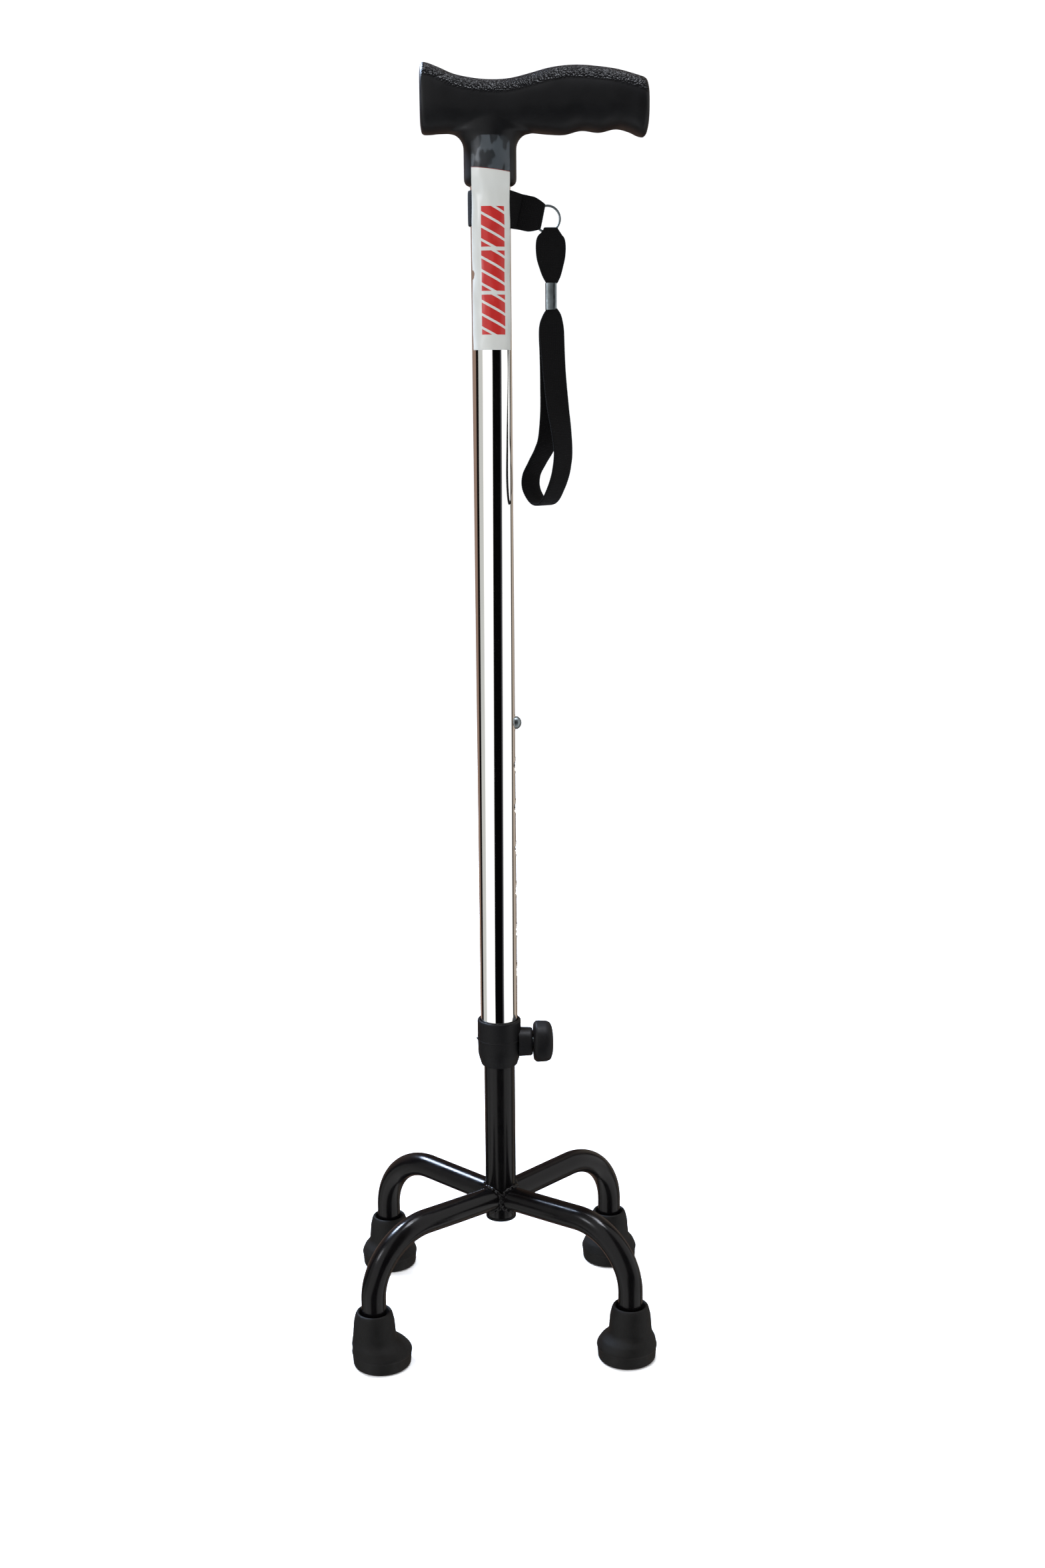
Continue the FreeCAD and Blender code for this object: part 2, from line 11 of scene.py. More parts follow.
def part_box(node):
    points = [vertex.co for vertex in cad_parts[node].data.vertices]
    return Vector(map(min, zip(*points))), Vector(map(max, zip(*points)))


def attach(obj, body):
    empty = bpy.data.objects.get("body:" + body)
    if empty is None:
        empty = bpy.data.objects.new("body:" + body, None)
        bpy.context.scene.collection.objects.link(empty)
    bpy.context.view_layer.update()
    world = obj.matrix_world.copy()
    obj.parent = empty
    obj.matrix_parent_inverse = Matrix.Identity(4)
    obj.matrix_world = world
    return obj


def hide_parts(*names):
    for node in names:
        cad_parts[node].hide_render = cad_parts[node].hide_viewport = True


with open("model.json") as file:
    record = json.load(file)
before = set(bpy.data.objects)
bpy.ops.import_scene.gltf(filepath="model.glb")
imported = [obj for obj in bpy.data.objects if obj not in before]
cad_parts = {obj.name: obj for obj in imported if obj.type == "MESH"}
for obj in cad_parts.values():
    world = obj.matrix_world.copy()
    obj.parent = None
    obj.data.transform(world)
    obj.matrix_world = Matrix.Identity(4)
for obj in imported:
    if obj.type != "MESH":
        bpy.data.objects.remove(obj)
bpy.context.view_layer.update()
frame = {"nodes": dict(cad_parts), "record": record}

bl_info = {
    "name": "Quad walking cane",
    "version": (1, 0, 0),
    "blender": (4, 5, 0),
    "location": "3D View > Sidebar > Cane",
    "description": "Builds the visible pieces and finishes of a four-footed walking cane around its frame",
    "category": "Add Mesh",
}

MM = 0.001


# ---------------------------------------------------------------- sizes taken from the frame
def extent(node):
    """Lowest and highest corner of a frame node, in millimetres, as a 2 by 3 array."""
    return np.array(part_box(node), float) / MM


TUBE_R = extent("upper_tube")[1, 0]
TUBE_LOW, TUBE_HIGH = extent("upper_tube")[:, 2]
STEM_R = extent("stem_tube")[1, 0]
STEM_LOW = extent("stem_end_cap")[0, 2]
STEM_HIGH = extent("stem_tube")[1, 2]
GRIP_Z = extent("handle")[0, 2]
BUTTON_Z = extent("snap_button")[:, 2].mean()
BUTTON_TIP_X = extent("snap_button")[1, 0]
KNOB_Z = extent("knob_head")[:, 2].mean()
KNOB_X = extent("knob_head")[:, 0]
KNOB_R = np.ptp(extent("knob_head")[:, 2]) / 2
COLLAR_LOW, COLLAR_HIGH = extent("lock_collar")[:, 2]
BOSS_END_X = extent("lock_collar")[1, 0]
RING_CENTRE = extent("split_ring").mean(axis=0)
RING_R = np.ptp(extent("split_ring")[:, 2]) / 2
CRIMP = extent("strap_crimp")
LABEL_LOW, LABEL_HIGH = extent("label")[:, 2]
PLACES = ("front_left", "front_right", "back_left", "back_right")


# ---------------------------------------------------------------- colour and nodes
def linear(code):
    """sRGB hex code to linear RGBA."""
    srgb = np.array([int(code[i:i + 2], 16) for i in (1, 3, 5)]) / 255
    rgb = np.where(srgb <= 0.04045, srgb / 12.92, ((srgb + 0.055) / 1.055) ** 2.4)
    return (*rgb, 1.0)


def add(tree, kind, inputs=None, **settings):
    """Adds a shader node and gives its outputs. An input takes a value or another node's output."""
    node = tree.nodes.new("ShaderNode" + kind)
    for key, value in settings.items():
        setattr(node, key, value)
    for key, value in (inputs or {}).items():
        if isinstance(value, bpy.types.NodeSocket):
            tree.links.new(value, node.inputs[key])
        else:
            node.inputs[key].default_value = value
    return node.outputs


def per_mm(size):
    """Texture scale on Object coordinates for features of this size in millimetres."""
    return 1 / (size * MM)


def place(tree, stretch=(1, 1, 1)):
    """The piece's own coordinates, stretched along each axis."""
    own = add(tree, "TexCoord")["Object"]
    return add(tree, "Mapping", {"Vector": own, "Scale": stretch})["Vector"]


# the next four give the inputs of a node: a pattern of one size, a span mapped, two tones, a relief
def grain(tree, size, detail=2.0, stretch=(1, 1, 1)):
    """Pattern with features of this size in millimetres."""
    return {"Vector": place(tree, stretch), "Scale": per_mm(size), "Detail": detail}


def span(value, low, high, to_low, to_high):
    """A value between two limits carried onto two others."""
    return {"Value": value, "From Min": low, "From Max": high, "To Min": to_low, "To Max": to_high}


def tones(value, first, second):
    """Two colours, each an sRGB hex code or a socket, blended by a value."""
    first, second = (linear(tone) if isinstance(tone, str) else tone for tone in (first, second))
    return {"Factor": value, 6: first, 7: second}


def relief(height, depth):
    """Height pattern that stands this many millimetres deep."""
    return {"Height": height, "Strength": 1.0, "Distance": depth * MM}


def blank(name):
    """A material with an empty node tree."""
    material = bpy.data.materials.new(name)
    material.use_nodes = True
    material.node_tree.nodes.clear()
    return material


def shaded(material, inputs):
    """Gives a material its one shader, with these inputs."""
    tree = material.node_tree
    shader = add(tree, "BsdfPrincipled", inputs)
    add(tree, "OutputMaterial", {"Surface": shader["BSDF"]})
    return material


# ---------------------------------------------------------------- materials
def polished_tube():
    """Drawn tube, polished and bright plated: long faint draw lines, a mirror face, a few dull smears."""
    material = blank("polished_plated_tube")
    tree = material.node_tree
    smear = add(tree, "TexNoise", grain(tree, 14.0, 3.0))[0]
    lines = add(tree, "TexNoise", grain(tree, 0.5, 3.0, (1, 1, 0.004)))[0]
    return shaded(material, {
        "Base Color": add(tree, "Mix", tones(smear, "#FFFEFC", "#F6F5F3"), data_type="RGBA")[2],
        "Metallic": 1.0,
        "Roughness": add(tree, "MapRange", span(smear, 0.35, 0.75, 0.02, 0.06))[0],
        "Normal": add(tree, "Bump", relief(lines, 0.0012))[0],
    })


def gloss_paint():
    """Sprayed black gloss paint on steel: slight orange peel, soft edges, faint dust."""
    material = blank("black_gloss_paint")
    tree = material.node_tree
    wear = add(tree, "TexNoise", grain(tree, 9.0, 4.0))[0]
    peel = add(tree, "TexNoise", grain(tree, 2.2, 1.5))[0]
    return shaded(material, {
        "Base Color": add(tree, "Mix", tones(wear, "#040405", "#0A0808"), data_type="RGBA")[2],
        "Roughness": add(tree, "MapRange", span(wear, 0.3, 0.75, 0.16, 0.27))[0],
        "Normal": add(tree, "Bump", relief(peel, 0.02))[0],
        "IOR": 1.5,
        "Specular IOR Level": 0.2,
    })


def moulded_plastic():
    """Injection-moulded black nylon: satin, with a fine spark-eroded grain."""
    material = blank("moulded_black_nylon")
    tree = material.node_tree
    patch = add(tree, "TexNoise", grain(tree, 8.0, 3.0))[0]
    eroded = add(tree, "TexNoise", grain(tree, 0.45))[0]
    return shaded(material, {
        "Base Color": add(tree, "Mix", tones(patch, "#09090A", "#100F0F"), data_type="RGBA")[2],
        "Roughness": add(tree, "MapRange", span(patch, 0.3, 0.7, 0.42, 0.55))[0],
        "Normal": add(tree, "Bump", relief(eroded, 0.03))[0],
        "IOR": 1.5,
        "Specular IOR Level": 0.13,
    })


def grip_plastic():
    """Moulded ABS grip: satin sides, and a pebbled leather grain over the top, which catches small sparks."""
    material = blank("moulded_abs_grip")
    tree = material.node_tree
    pebbled = add(tree, "Attribute", attribute_name="grain")["Fac"]
    patch = add(tree, "TexNoise", grain(tree, 10.0, 3.0))[0]
    pebbles = {"Vector": place(tree), "Scale": per_mm(1.15), "Smoothness": 0.3}
    hollow = add(tree, "TexVoronoi", pebbles, feature="SMOOTH_F1")["Distance"]
    raised = add(tree, "Math", {0: 1.0, 1: hollow}, operation="SUBTRACT")[0]
    raised = add(tree, "Math", {0: raised, 1: pebbled}, operation="MULTIPLY")[0]
    fine = add(tree, "TexNoise", grain(tree, 0.5))[0]
    fine = add(tree, "Math", {0: fine, 1: 0.05}, operation="MULTIPLY")[0]
    height = add(tree, "Math", {0: raised, 1: fine}, operation="ADD")[0]
    side = add(tree, "Mix", tones(patch, "#0A0A0B", "#0E0E0F"), data_type="RGBA")[2]
    satin = add(tree, "MapRange", span(patch, 0.3, 0.7, 0.36, 0.46))[0]
    smoother = add(tree, "Math", {0: pebbled, 1: 0.12}, operation="MULTIPLY")[0]
    return shaded(material, {
        "Base Color": add(tree, "Mix", tones(pebbled, side, "#0C0C0D"), data_type="RGBA")[2],
        "Roughness": add(tree, "Math", {0: satin, 1: smoother}, operation="SUBTRACT")[0],
        "Normal": add(tree, "Bump", relief(height, 0.55))[0],
        "IOR": 1.53,
        "Specular IOR Level": add(tree, "MapRange", span(pebbled, 0.0, 1.0, 0.16, 0.05))[0],
    })


def tip_rubber():
    """Moulded black rubber: matt, slightly dusty, with a faint mottled skin."""
    material = blank("moulded_black_rubber")
    tree = material.node_tree
    patch = add(tree, "TexNoise", grain(tree, 5.0, 4.0))[0]
    skin = add(tree, "TexNoise", grain(tree, 0.8, 3.0))[0]
    return shaded(material, {
        "Base Color": add(tree, "Mix", tones(patch, "#080807", "#12100E"), data_type="RGBA")[2],
        "Roughness": add(tree, "MapRange", span(patch, 0.3, 0.7, 0.5, 0.68))[0],
        "Normal": add(tree, "Bump", relief(skin, 0.06))[0],
        "IOR": 1.52,
        "Specular IOR Level": 0.16,
    })


def webbing():
    """Woven black polypropylene webbing: ribs across, yarns along, drawn coarser than real to show, with
    painted shade darkening the weave's low parts.
    """
    material = blank("woven_black_webbing")
    tree = material.node_tree
    rib_pitch = 0.9
    yarn_pitch = 1.1
    cloth = add(tree, "SeparateXYZ", {"Vector": add(tree, "UVMap", uv_map="cloth")["UV"]})
    yarns = add(tree, "Math", {0: cloth["X"], 1: 2 * math.pi / yarn_pitch}, operation="MULTIPLY")[0]
    yarns = add(tree, "Math", {0: yarns}, operation="SINE")[0]
    shift = add(tree, "Math", {0: yarns, 1: 0.8}, operation="MULTIPLY")[0]
    ribs = add(tree, "Math", {0: cloth["Y"], 1: 2 * math.pi / rib_pitch}, operation="MULTIPLY")[0]
    ribs = add(tree, "Math", {0: ribs, 1: shift}, operation="ADD")[0]
    ribs = add(tree, "Math", {0: ribs}, operation="SINE")[0]
    low_yarns = add(tree, "Math", {0: yarns, 1: 0.4}, operation="MULTIPLY")[0]
    weave = add(tree, "Math", {0: low_yarns, 1: ribs}, operation="ADD")[0]
    fuzz = add(tree, "TexNoise", grain(tree, 0.5))[0]
    fuzz = add(tree, "Math", {0: fuzz, 1: 0.6}, operation="MULTIPLY")[0]
    height = add(tree, "Math", {0: weave, 1: fuzz}, operation="ADD")[0]
    # painted shade: the colour follows the weave's height, darker in its low parts and lighter on the raised
    # yarns
    tone = add(tree, "MapRange", span(weave, -1.4, 1.4, 0.0, 1.0))[0]
    return shaded(material, {
        "Base Color": add(tree, "Mix", tones(tone, "#030303", "#0D0C0C"), data_type="RGBA")[2],
        "Roughness": 0.8,
        "Normal": add(tree, "Bump", relief(height, 0.05))[0],
        "IOR": 1.5,
        "Specular IOR Level": 0.06,
        "Sheen Weight": 0.02,
        "Sheen Roughness": 0.5,
    })


def nickel_steel(name="nickel_plated_steel", pale="#8B9599", dark="#676D6F", rough=(0.28, 0.42)):
    """Rolled steel with thin nickel plate: soft metal gloss, faint rolling lines, small stains."""
    material = blank(name)
    tree = material.node_tree
    stain = add(tree, "TexNoise", grain(tree, 2.5, 4.0))[0]
    rolled = add(tree, "TexNoise", grain(tree, 0.4))[0]
    return shaded(material, {
        "Base Color": add(tree, "Mix", tones(stain, pale, dark), data_type="RGBA")[2],
        "Metallic": 1.0,
        "Roughness": add(tree, "MapRange", span(stain, 0.3, 0.7, *rough))[0],
        "Normal": add(tree, "Bump", relief(rolled, 0.008))[0],
    })


def brass():
    """Turned brass: the steel's soft gloss and small stains in a yellow metal."""
    return nickel_steel("turned_brass", "#B08D4A", "#8F6F34", (0.28, 0.4))


def red_blocks(tree, across, up):
    """Where red ink is printed: three blocks up the label, each cut by slanted gaps. Sizes in millimetres."""
    block_pitch, block_height, block_count, first_block = 23.4, 21.4, 3, 8.2
    block_middle, block_half = 1.0, 6.7
    stripe_pitch, stripe_gap, stripe_slope = 7.1, 1.5, 0.55
    above = add(tree, "Math", {0: up, 1: first_block}, operation="SUBTRACT")[0]
    local = add(tree, "Math", {0: above, 1: block_pitch}, operation="FLOORED_MODULO")[0]
    sideways = add(tree, "Math", {0: across, 1: stripe_slope}, operation="MULTIPLY")[0]
    slant = add(tree, "Math", {0: local, 1: sideways}, operation="ADD")[0]
    stripe = add(tree, "Math", {0: slant, 1: stripe_pitch}, operation="FLOORED_MODULO")[0]
    aside = add(tree, "Math", {0: across, 1: block_middle}, operation="SUBTRACT")[0]
    aside = add(tree, "Math", {0: aside}, operation="ABSOLUTE")[0]
    red = add(tree, "Math", {0: local, 1: block_height}, operation="LESS_THAN")[0]
    for value, limit, side in (
        (stripe, stripe_gap, "GREATER_THAN"), (aside, block_half, "LESS_THAN"),
        (up, first_block, "GREATER_THAN"), (up, first_block + block_count * block_pitch, "LESS_THAN"),
    ):
        inside = add(tree, "Math", {0: value, 1: limit}, operation=side)[0]
        red = add(tree, "Math", {0: red, 1: inside}, operation="MULTIPLY")[0]
    return red


def label_film():
    """Printed vinyl label: glossy white ink with plain red blocks, and a clear wrinkled end over the neck,
    where grey wedges are painted highlights.
    """
    material = blank("printed_vinyl_label")
    tree = material.node_tree
    cloth = add(tree, "SeparateXYZ", {"Vector": add(tree, "UVMap", uv_map="cloth")["UV"]})
    mottle = add(tree, "TexNoise", grain(tree, 12.0))[0]
    white = add(tree, "Mix", tones(mottle, "#ABABA5", "#A1A19B"), data_type="RGBA")[2]
    ink = add(tree, "Mix", tones(mottle, "#A31C18", "#8C1512"), data_type="RGBA")[2]
    red = red_blocks(tree, cloth["X"], cloth["Y"])
    printed = add(tree, "Mix", tones(red, white, ink), data_type="RGBA")[2]
    # the attribute is the height over the print's upper edge: clear film above it, a thin dark line on it
    over = add(tree, "Attribute", attribute_name="over_edge")["Fac"]
    clear = add(tree, "Math", {0: over, 1: 0.0}, operation="GREATER_THAN")[0]
    off_edge = add(tree, "Math", {0: over}, operation="ABSOLUTE")[0]
    edge_line = add(tree, "Math", {0: off_edge, 1: 0.3}, operation="LESS_THAN")[0]
    printed = add(tree, "Mix", tones(edge_line, printed, "#6B241D"), data_type="RGBA")[2]
    wrinkle = add(tree, "TexNoise", grain(tree, 5.0, 1.0, (1, 1, 0.45)))[0]
    # grey film thickened in wavy wedges where the wrinkle noise rises: painted highlights on the clear end,
    # over a faint even haze
    haze_and_painted_highlights = add(tree, "MapRange", span(wrinkle, 0.5, 0.55, 0.07, 0.36))[0]
    see_through = add(tree, "Math", {0: 1.0, 1: haze_and_painted_highlights}, operation="SUBTRACT")[0]
    see_through = add(tree, "Math", {0: clear, 1: see_through}, operation="MULTIPLY")[0]
    return shaded(material, {
        "Base Color": add(tree, "Mix", tones(clear, printed, "#4A5054"), data_type="RGBA")[2],
        "Roughness": 0.3,
        "Normal": add(tree, "Bump", relief(wrinkle, 0.25))[0],
        "Alpha": add(tree, "Math", {0: 1.0, 1: see_through}, operation="SUBTRACT")[0],
        "IOR": 1.53,
        "Specular IOR Level": 0.35,
    })


MAKERS = {
    "polished_tube": polished_tube,
    "painted_steel": gloss_paint,
    "black_plastic": moulded_plastic,
    "grip_plastic": grip_plastic,
    "black_rubber": tip_rubber,
    "black_webbing": webbing,
    "plain_steel": nickel_steel,
    "pad_brass": brass,
    "label_film": label_film,
}
finishes = {}


def finish_for(slot):
    """The one material of each record slot, made on first use."""
    if slot not in finishes:
        finishes[slot] = MAKERS[slot]()
    return finishes[slot]


# ---------------------------------------------------------------- surfaces
def smooth_through(knots, count):
    """Catmull-Rom curve: each stretch is the cubic whose end slopes are half the step between neighbours."""
    knots = np.asarray(knots, float)
    padded = np.vstack([2 * knots[0] - knots[1], knots, 2 * knots[-1] - knots[-2]])
    t = np.linspace(0, len(knots) - 1, count)
    i = np.minimum(t.astype(int), len(knots) - 2)
    f = (t - i)[:, None]
    a, b, c, d = (padded[i + k] for k in range(4))
    return 0.5 * (2 * b + (c - a) * f + (2 * a - 5 * b + 4 * c - d) * f**2 + (3 * b - a - 3 * c + d) * f**3)


def curve_at(knots, x):
    """Smooth curve through (x, value) knots: cubic Hermite with the slopes of neighbouring knots."""
    knots = np.asarray(knots, float)
    kx, ky = knots[:, 0], knots[:, 1:]
    slope = np.gradient(ky, kx, axis=0)
    i = np.clip(np.searchsorted(kx, x) - 1, 0, len(kx) - 2)
    h = (kx[i + 1] - kx[i])[:, None]
    f = np.clip((x - kx[i])[:, None] / h, 0, 1)
    return (
        (2 * f**3 - 3 * f**2 + 1) * ky[i] + (f**3 - 2 * f**2 + f) * h * slope[i]
        + (3 * f**2 - 2 * f**3) * ky[i + 1] + (f**3 - f**2) * h * slope[i + 1]
    )


def power_wave(angle, power):
    """Cosine and sine raised to a power with their signs kept: the outline of a superellipse."""
    c, s = np.cos(angle), np.sin(angle)
    return np.sign(c) * np.abs(c) ** (2 / power), np.sign(s) * np.abs(s) ** (2 / power)


def turn_angles(count):
    """Equal steps of angle once round."""
    return np.linspace(0, 2 * np.pi, count, endpoint=False)


def rounded(points, radius, steps=5):
    """Replaces each inner corner of a polyline with a quadratic between the cut-back points."""
    points = np.asarray(points, float)
    out = [points[:1]]
    f = np.linspace(0, 1, steps)[:, None]
    for before, corner, after in zip(points[:-2], points[1:-1], points[2:]):
        cut = min(radius, 0.45 * np.linalg.norm(before - corner), 0.45 * np.linalg.norm(after - corner))
        start = corner + (before - corner) / np.linalg.norm(before - corner) * cut
        end = corner + (after - corner) / np.linalg.norm(after - corner) * cut
        out.append((1 - f) ** 2 * start + 2 * f * (1 - f) * corner + f**2 * end)
    out.append(points[-1:])
    return np.vstack(out)


def refined(points, step):
    """Adds points so that no stretch of a polyline is longer than a step."""
    parts = [
        a + (b - a) * np.linspace(0, 1, max(int(np.ceil(np.linalg.norm(b - a) / step)), 1) + 1)[:-1, None]
        for a, b in zip(points[:-1], points[1:])
    ]
    return np.vstack(parts + [points[-1:]])


def turned(profile, count=96, axis="z", centre=(0, 0, 0)):
    """Surface of revolution: each (radius, height) of the profile carried once round the axis."""
    radius, height = np.asarray(profile, float).T
    angle = turn_angles(count)
    a = radius[:, None] * np.cos(angle)
    b = radius[:, None] * np.sin(angle)
    h = np.repeat(height[:, None], count, axis=1)
    order = (a, b, h) if axis == "z" else (h, a, b)
    return np.stack(order, axis=-1) + np.asarray(centre, float)


def capped(grid):
    """Closes a tube-like grid with a point at each end."""
    first = np.repeat(grid[:1].mean(axis=1, keepdims=True), grid.shape[1], axis=1)
    last = np.repeat(grid[-1:].mean(axis=1, keepdims=True), grid.shape[1], axis=1)
    return np.concatenate([first, grid, last])


def unit(vectors):
    """Vectors brought to length one."""
    return vectors / np.linalg.norm(vectors, axis=-1, keepdims=True)


def swept(path, side, outline):
    """Carries a closed outline of (across, out) pairs along a path with a given sideways direction."""
    tangent = unit(np.gradient(path, axis=0))
    side = unit(side - (side * tangent).sum(axis=1, keepdims=True) * tangent)
    normal = np.cross(tangent, side)
    across, out = outline
    return path[:, None] + across[..., None] * side[:, None] + out[..., None] * normal[:, None]


def steps_along(grid, axis, wrap):
    """Mean running length along one axis of a grid, one value more than faces that way."""
    closed = np.concatenate([grid, np.take(grid, [0], axis=axis)], axis=axis) if wrap else grid
    step = np.linalg.norm(np.diff(closed, axis=axis), axis=-1).mean(axis=1 - axis)
    return np.concatenate([[0], np.cumsum(step)])


def mesh_from_grid(name, grid, wrap_rows=False, wrap_cols=True, across=None):
    """Quads between neighbouring rows and columns, with a UV map in millimetres along both ways."""
    rows, cols = grid.shape[:2]
    i, j = np.meshgrid(
        np.arange(rows if wrap_rows else rows - 1), np.arange(cols if wrap_cols else cols - 1), indexing="ij"
    )
    ni, nj = (i + 1) % rows, (j + 1) % cols
    faces = np.stack([i * cols + j, i * cols + nj, ni * cols + nj, ni * cols + j], axis=-1).reshape(-1, 4)
    u = steps_along(grid, 1, wrap_cols) if across is None else np.append(across, across[:1])
    v = steps_along(grid, 0, wrap_rows)
    corners = np.stack(
        [np.stack([u[b], v[a]], axis=-1) for a, b in ((i, j), (i, j + 1), (i + 1, j + 1), (i + 1, j))], axis=2
    )
    mesh = bpy.data.meshes.new(name)
    mesh.from_pydata((grid.reshape(-1, 3) * MM).tolist(), [], faces.tolist())
    mesh.uv_layers.new(name="cloth").data.foreach_set("uv", corners.astype(np.float32).ravel())
    return mesh


def tidy_mesh(mesh, sharp=40.0, closed=True):
    """Merges the seam and poles, points the faces of a closed shape outwards, and keeps hard edges hard."""
    bm = bmesh.new()
    bm.from_mesh(mesh)
    bmesh.ops.remove_doubles(bm, verts=bm.verts, dist=1e-6)
    bmesh.ops.dissolve_degenerate(bm, edges=bm.edges, dist=1e-7)
    if closed:
        bmesh.ops.recalc_face_normals(bm, faces=bm.faces)
    bm.to_mesh(mesh)
    bm.free()
    mesh.shade_smooth()
    mesh.set_sharp_from_angle(angle=math.radians(sharp))


def joined(name, meshes):
    """One object from several meshes."""
    bm = bmesh.new()
    for mesh in meshes:
        bm.from_mesh(mesh)
    whole = bpy.data.meshes.new(name)
    bm.to_mesh(whole)
    bm.free()
    return whole


def piece(name, mesh, body, slot, nodes=()):
    """Puts a mesh into the scene as a visible piece that rides on a body and stands for frame nodes."""
    obj = bpy.data.objects.new(name, mesh)
    bpy.context.scene.collection.objects.link(obj)
    mesh.materials.clear()
    mesh.materials.append(finish_for(slot))
    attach(obj, body)
    if nodes:
        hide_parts(*nodes)
    return obj


def opened_out(mesh, inside, bridge=False):
    """Deletes the marked vertices; bridge joins the two rims left, as a tunnel through a wall."""
    bm = bmesh.new()
    bm.from_mesh(mesh)
    bm.verts.ensure_lookup_table()
    bmesh.ops.delete(bm, geom=[bm.verts[int(i)] for i in np.flatnonzero(inside)], context="VERTS")
    bmesh.ops.remove_doubles(bm, verts=bm.verts, dist=1e-6)
    if bridge:
        bmesh.ops.bridge_loops(bm, edges=[e for e in bm.edges if e.is_boundary])
    bmesh.ops.recalc_face_normals(bm, faces=bm.faces)
    bm.to_mesh(mesh)
    bm.free()


def solid_piece(name, grids, body, slot, nodes=(), sharp=40.0, extra=()):
    """A piece from one or more closed grids, and meshes that are ready."""
    meshes = list(extra)
    for grid in grids:
        mesh = mesh_from_grid(name, grid)
        tidy_mesh(mesh, sharp)
        meshes.append(mesh)
    mesh = meshes[0] if len(meshes) == 1 else joined(name, meshes)
    if len(meshes) > 1:
        mesh.shade_smooth()
        mesh.set_sharp_from_angle(angle=math.radians(sharp))
    return piece(name, mesh, body, slot, nodes)


def baked(obj):
    """Applies an object's modifiers to its mesh."""
    graph = bpy.context.evaluated_depsgraph_get()
    mesh = bpy.data.meshes.new_from_object(obj.evaluated_get(graph))
    obj.modifiers.clear()
    obj.data = mesh
    return mesh


# ---------------------------------------------------------------- handle
# x, underside and top above the neck's foot, share of the half width
ARM = (
    (-37.9, 32.2, 59.6, 0.80), (-37.4, 29.0, 62.8, 0.90),
    (-36.2, 27.4, 64.3, 0.96), (-34.2, 27.2, 64.1, 0.98),
    (-28.0, 27.7, 61.9, 1.0), (-20.0, 27.9, 58.5, 1.0), (-11.0, 28.0, 56.5, 1.0), (0.0, 28.0, 55.4, 1.0),
    (11.0, 28.0, 56.0, 1.0), (22.0, 28.2, 58.6, 1.0), (32.0, 27.3, 61.3, 1.0), (41.0, 27.1, 62.6, 1.0),
    (50.0, 29.2, 62.8, 1.0), (60.0, 28.2, 62.0, 1.0), (70.0, 30.0, 60.5, 1.0), (77.0, 28.2, 58.7, 0.99),
    (82.0, 26.0, 57.2, 0.98), (84.4, 25.9, 56.3, 0.95), (85.7, 27.6, 54.8, 0.90), (86.4, 31.0, 52.0, 0.80),
)
ARM_START, ARM_END = ARM[0][0], ARM[-1][0]
ARM_FOOT = 28.0           # the arm's underside above the neck's foot
ARM_SHAPE = 2.6           # superellipse power of the arm's section
FLARE_R = 8.6             # radius of the curve from the neck into the arm
SECTION_POINTS = 112
VOXEL = 0.75


def arm_grid(half_width):
    """Superellipse sections along x; height and depth follow smooth curves through the stations."""
    knots = np.array(ARM)
    x = np.concatenate([
        np.linspace(ARM_START, -34, 14), np.linspace(-33.6, 82, 190), np.linspace(82.5, ARM_END, 16)
    ])
    low, top, share = curve_at(knots, x).T
    c, s = power_wave(turn_angles(SECTION_POINTS), ARM_SHAPE)
    y = half_width * share[:, None] * c
    z = GRIP_Z + (low + top)[:, None] / 2 + (top - low)[:, None] / 2 * s
    return capped(np.stack([np.repeat(x[:, None], SECTION_POINTS, axis=1), y, z], axis=-1))


def neck_grid(neck_r):
    """Round neck whose sections grow along x on a quarter circle, so it flows into the arm."""
    foot = rounded([(0, 0), (neck_r, 0), (neck_r, 9)], 4.4, 9)
    flare_z = ARM_FOOT - FLARE_R
    turn = np.linspace(0, math.pi / 2, 14)[1:]
    rise = np.concatenate([
        foot[1:, 1], np.linspace(10, flare_z, 8), flare_z + FLARE_R * np.sin(turn), [36, 42]
    ])
    out = np.concatenate([np.zeros(len(foot) + 7), FLARE_R * (1 - np.cos(turn)), [FLARE_R, FLARE_R]])
    radius = np.concatenate([foot[1:, 0], np.full(len(rise) - len(foot) + 1, neck_r)])
    angle = turn_angles(SECTION_POINTS)
    x = (radius + out)[:, None] * np.cos(angle)
    y = radius[:, None] * np.sin(angle)
    z = np.repeat(GRIP_Z + rise[:, None], SECTION_POINTS, axis=1)
    return capped(np.stack([x, y, z], axis=-1))


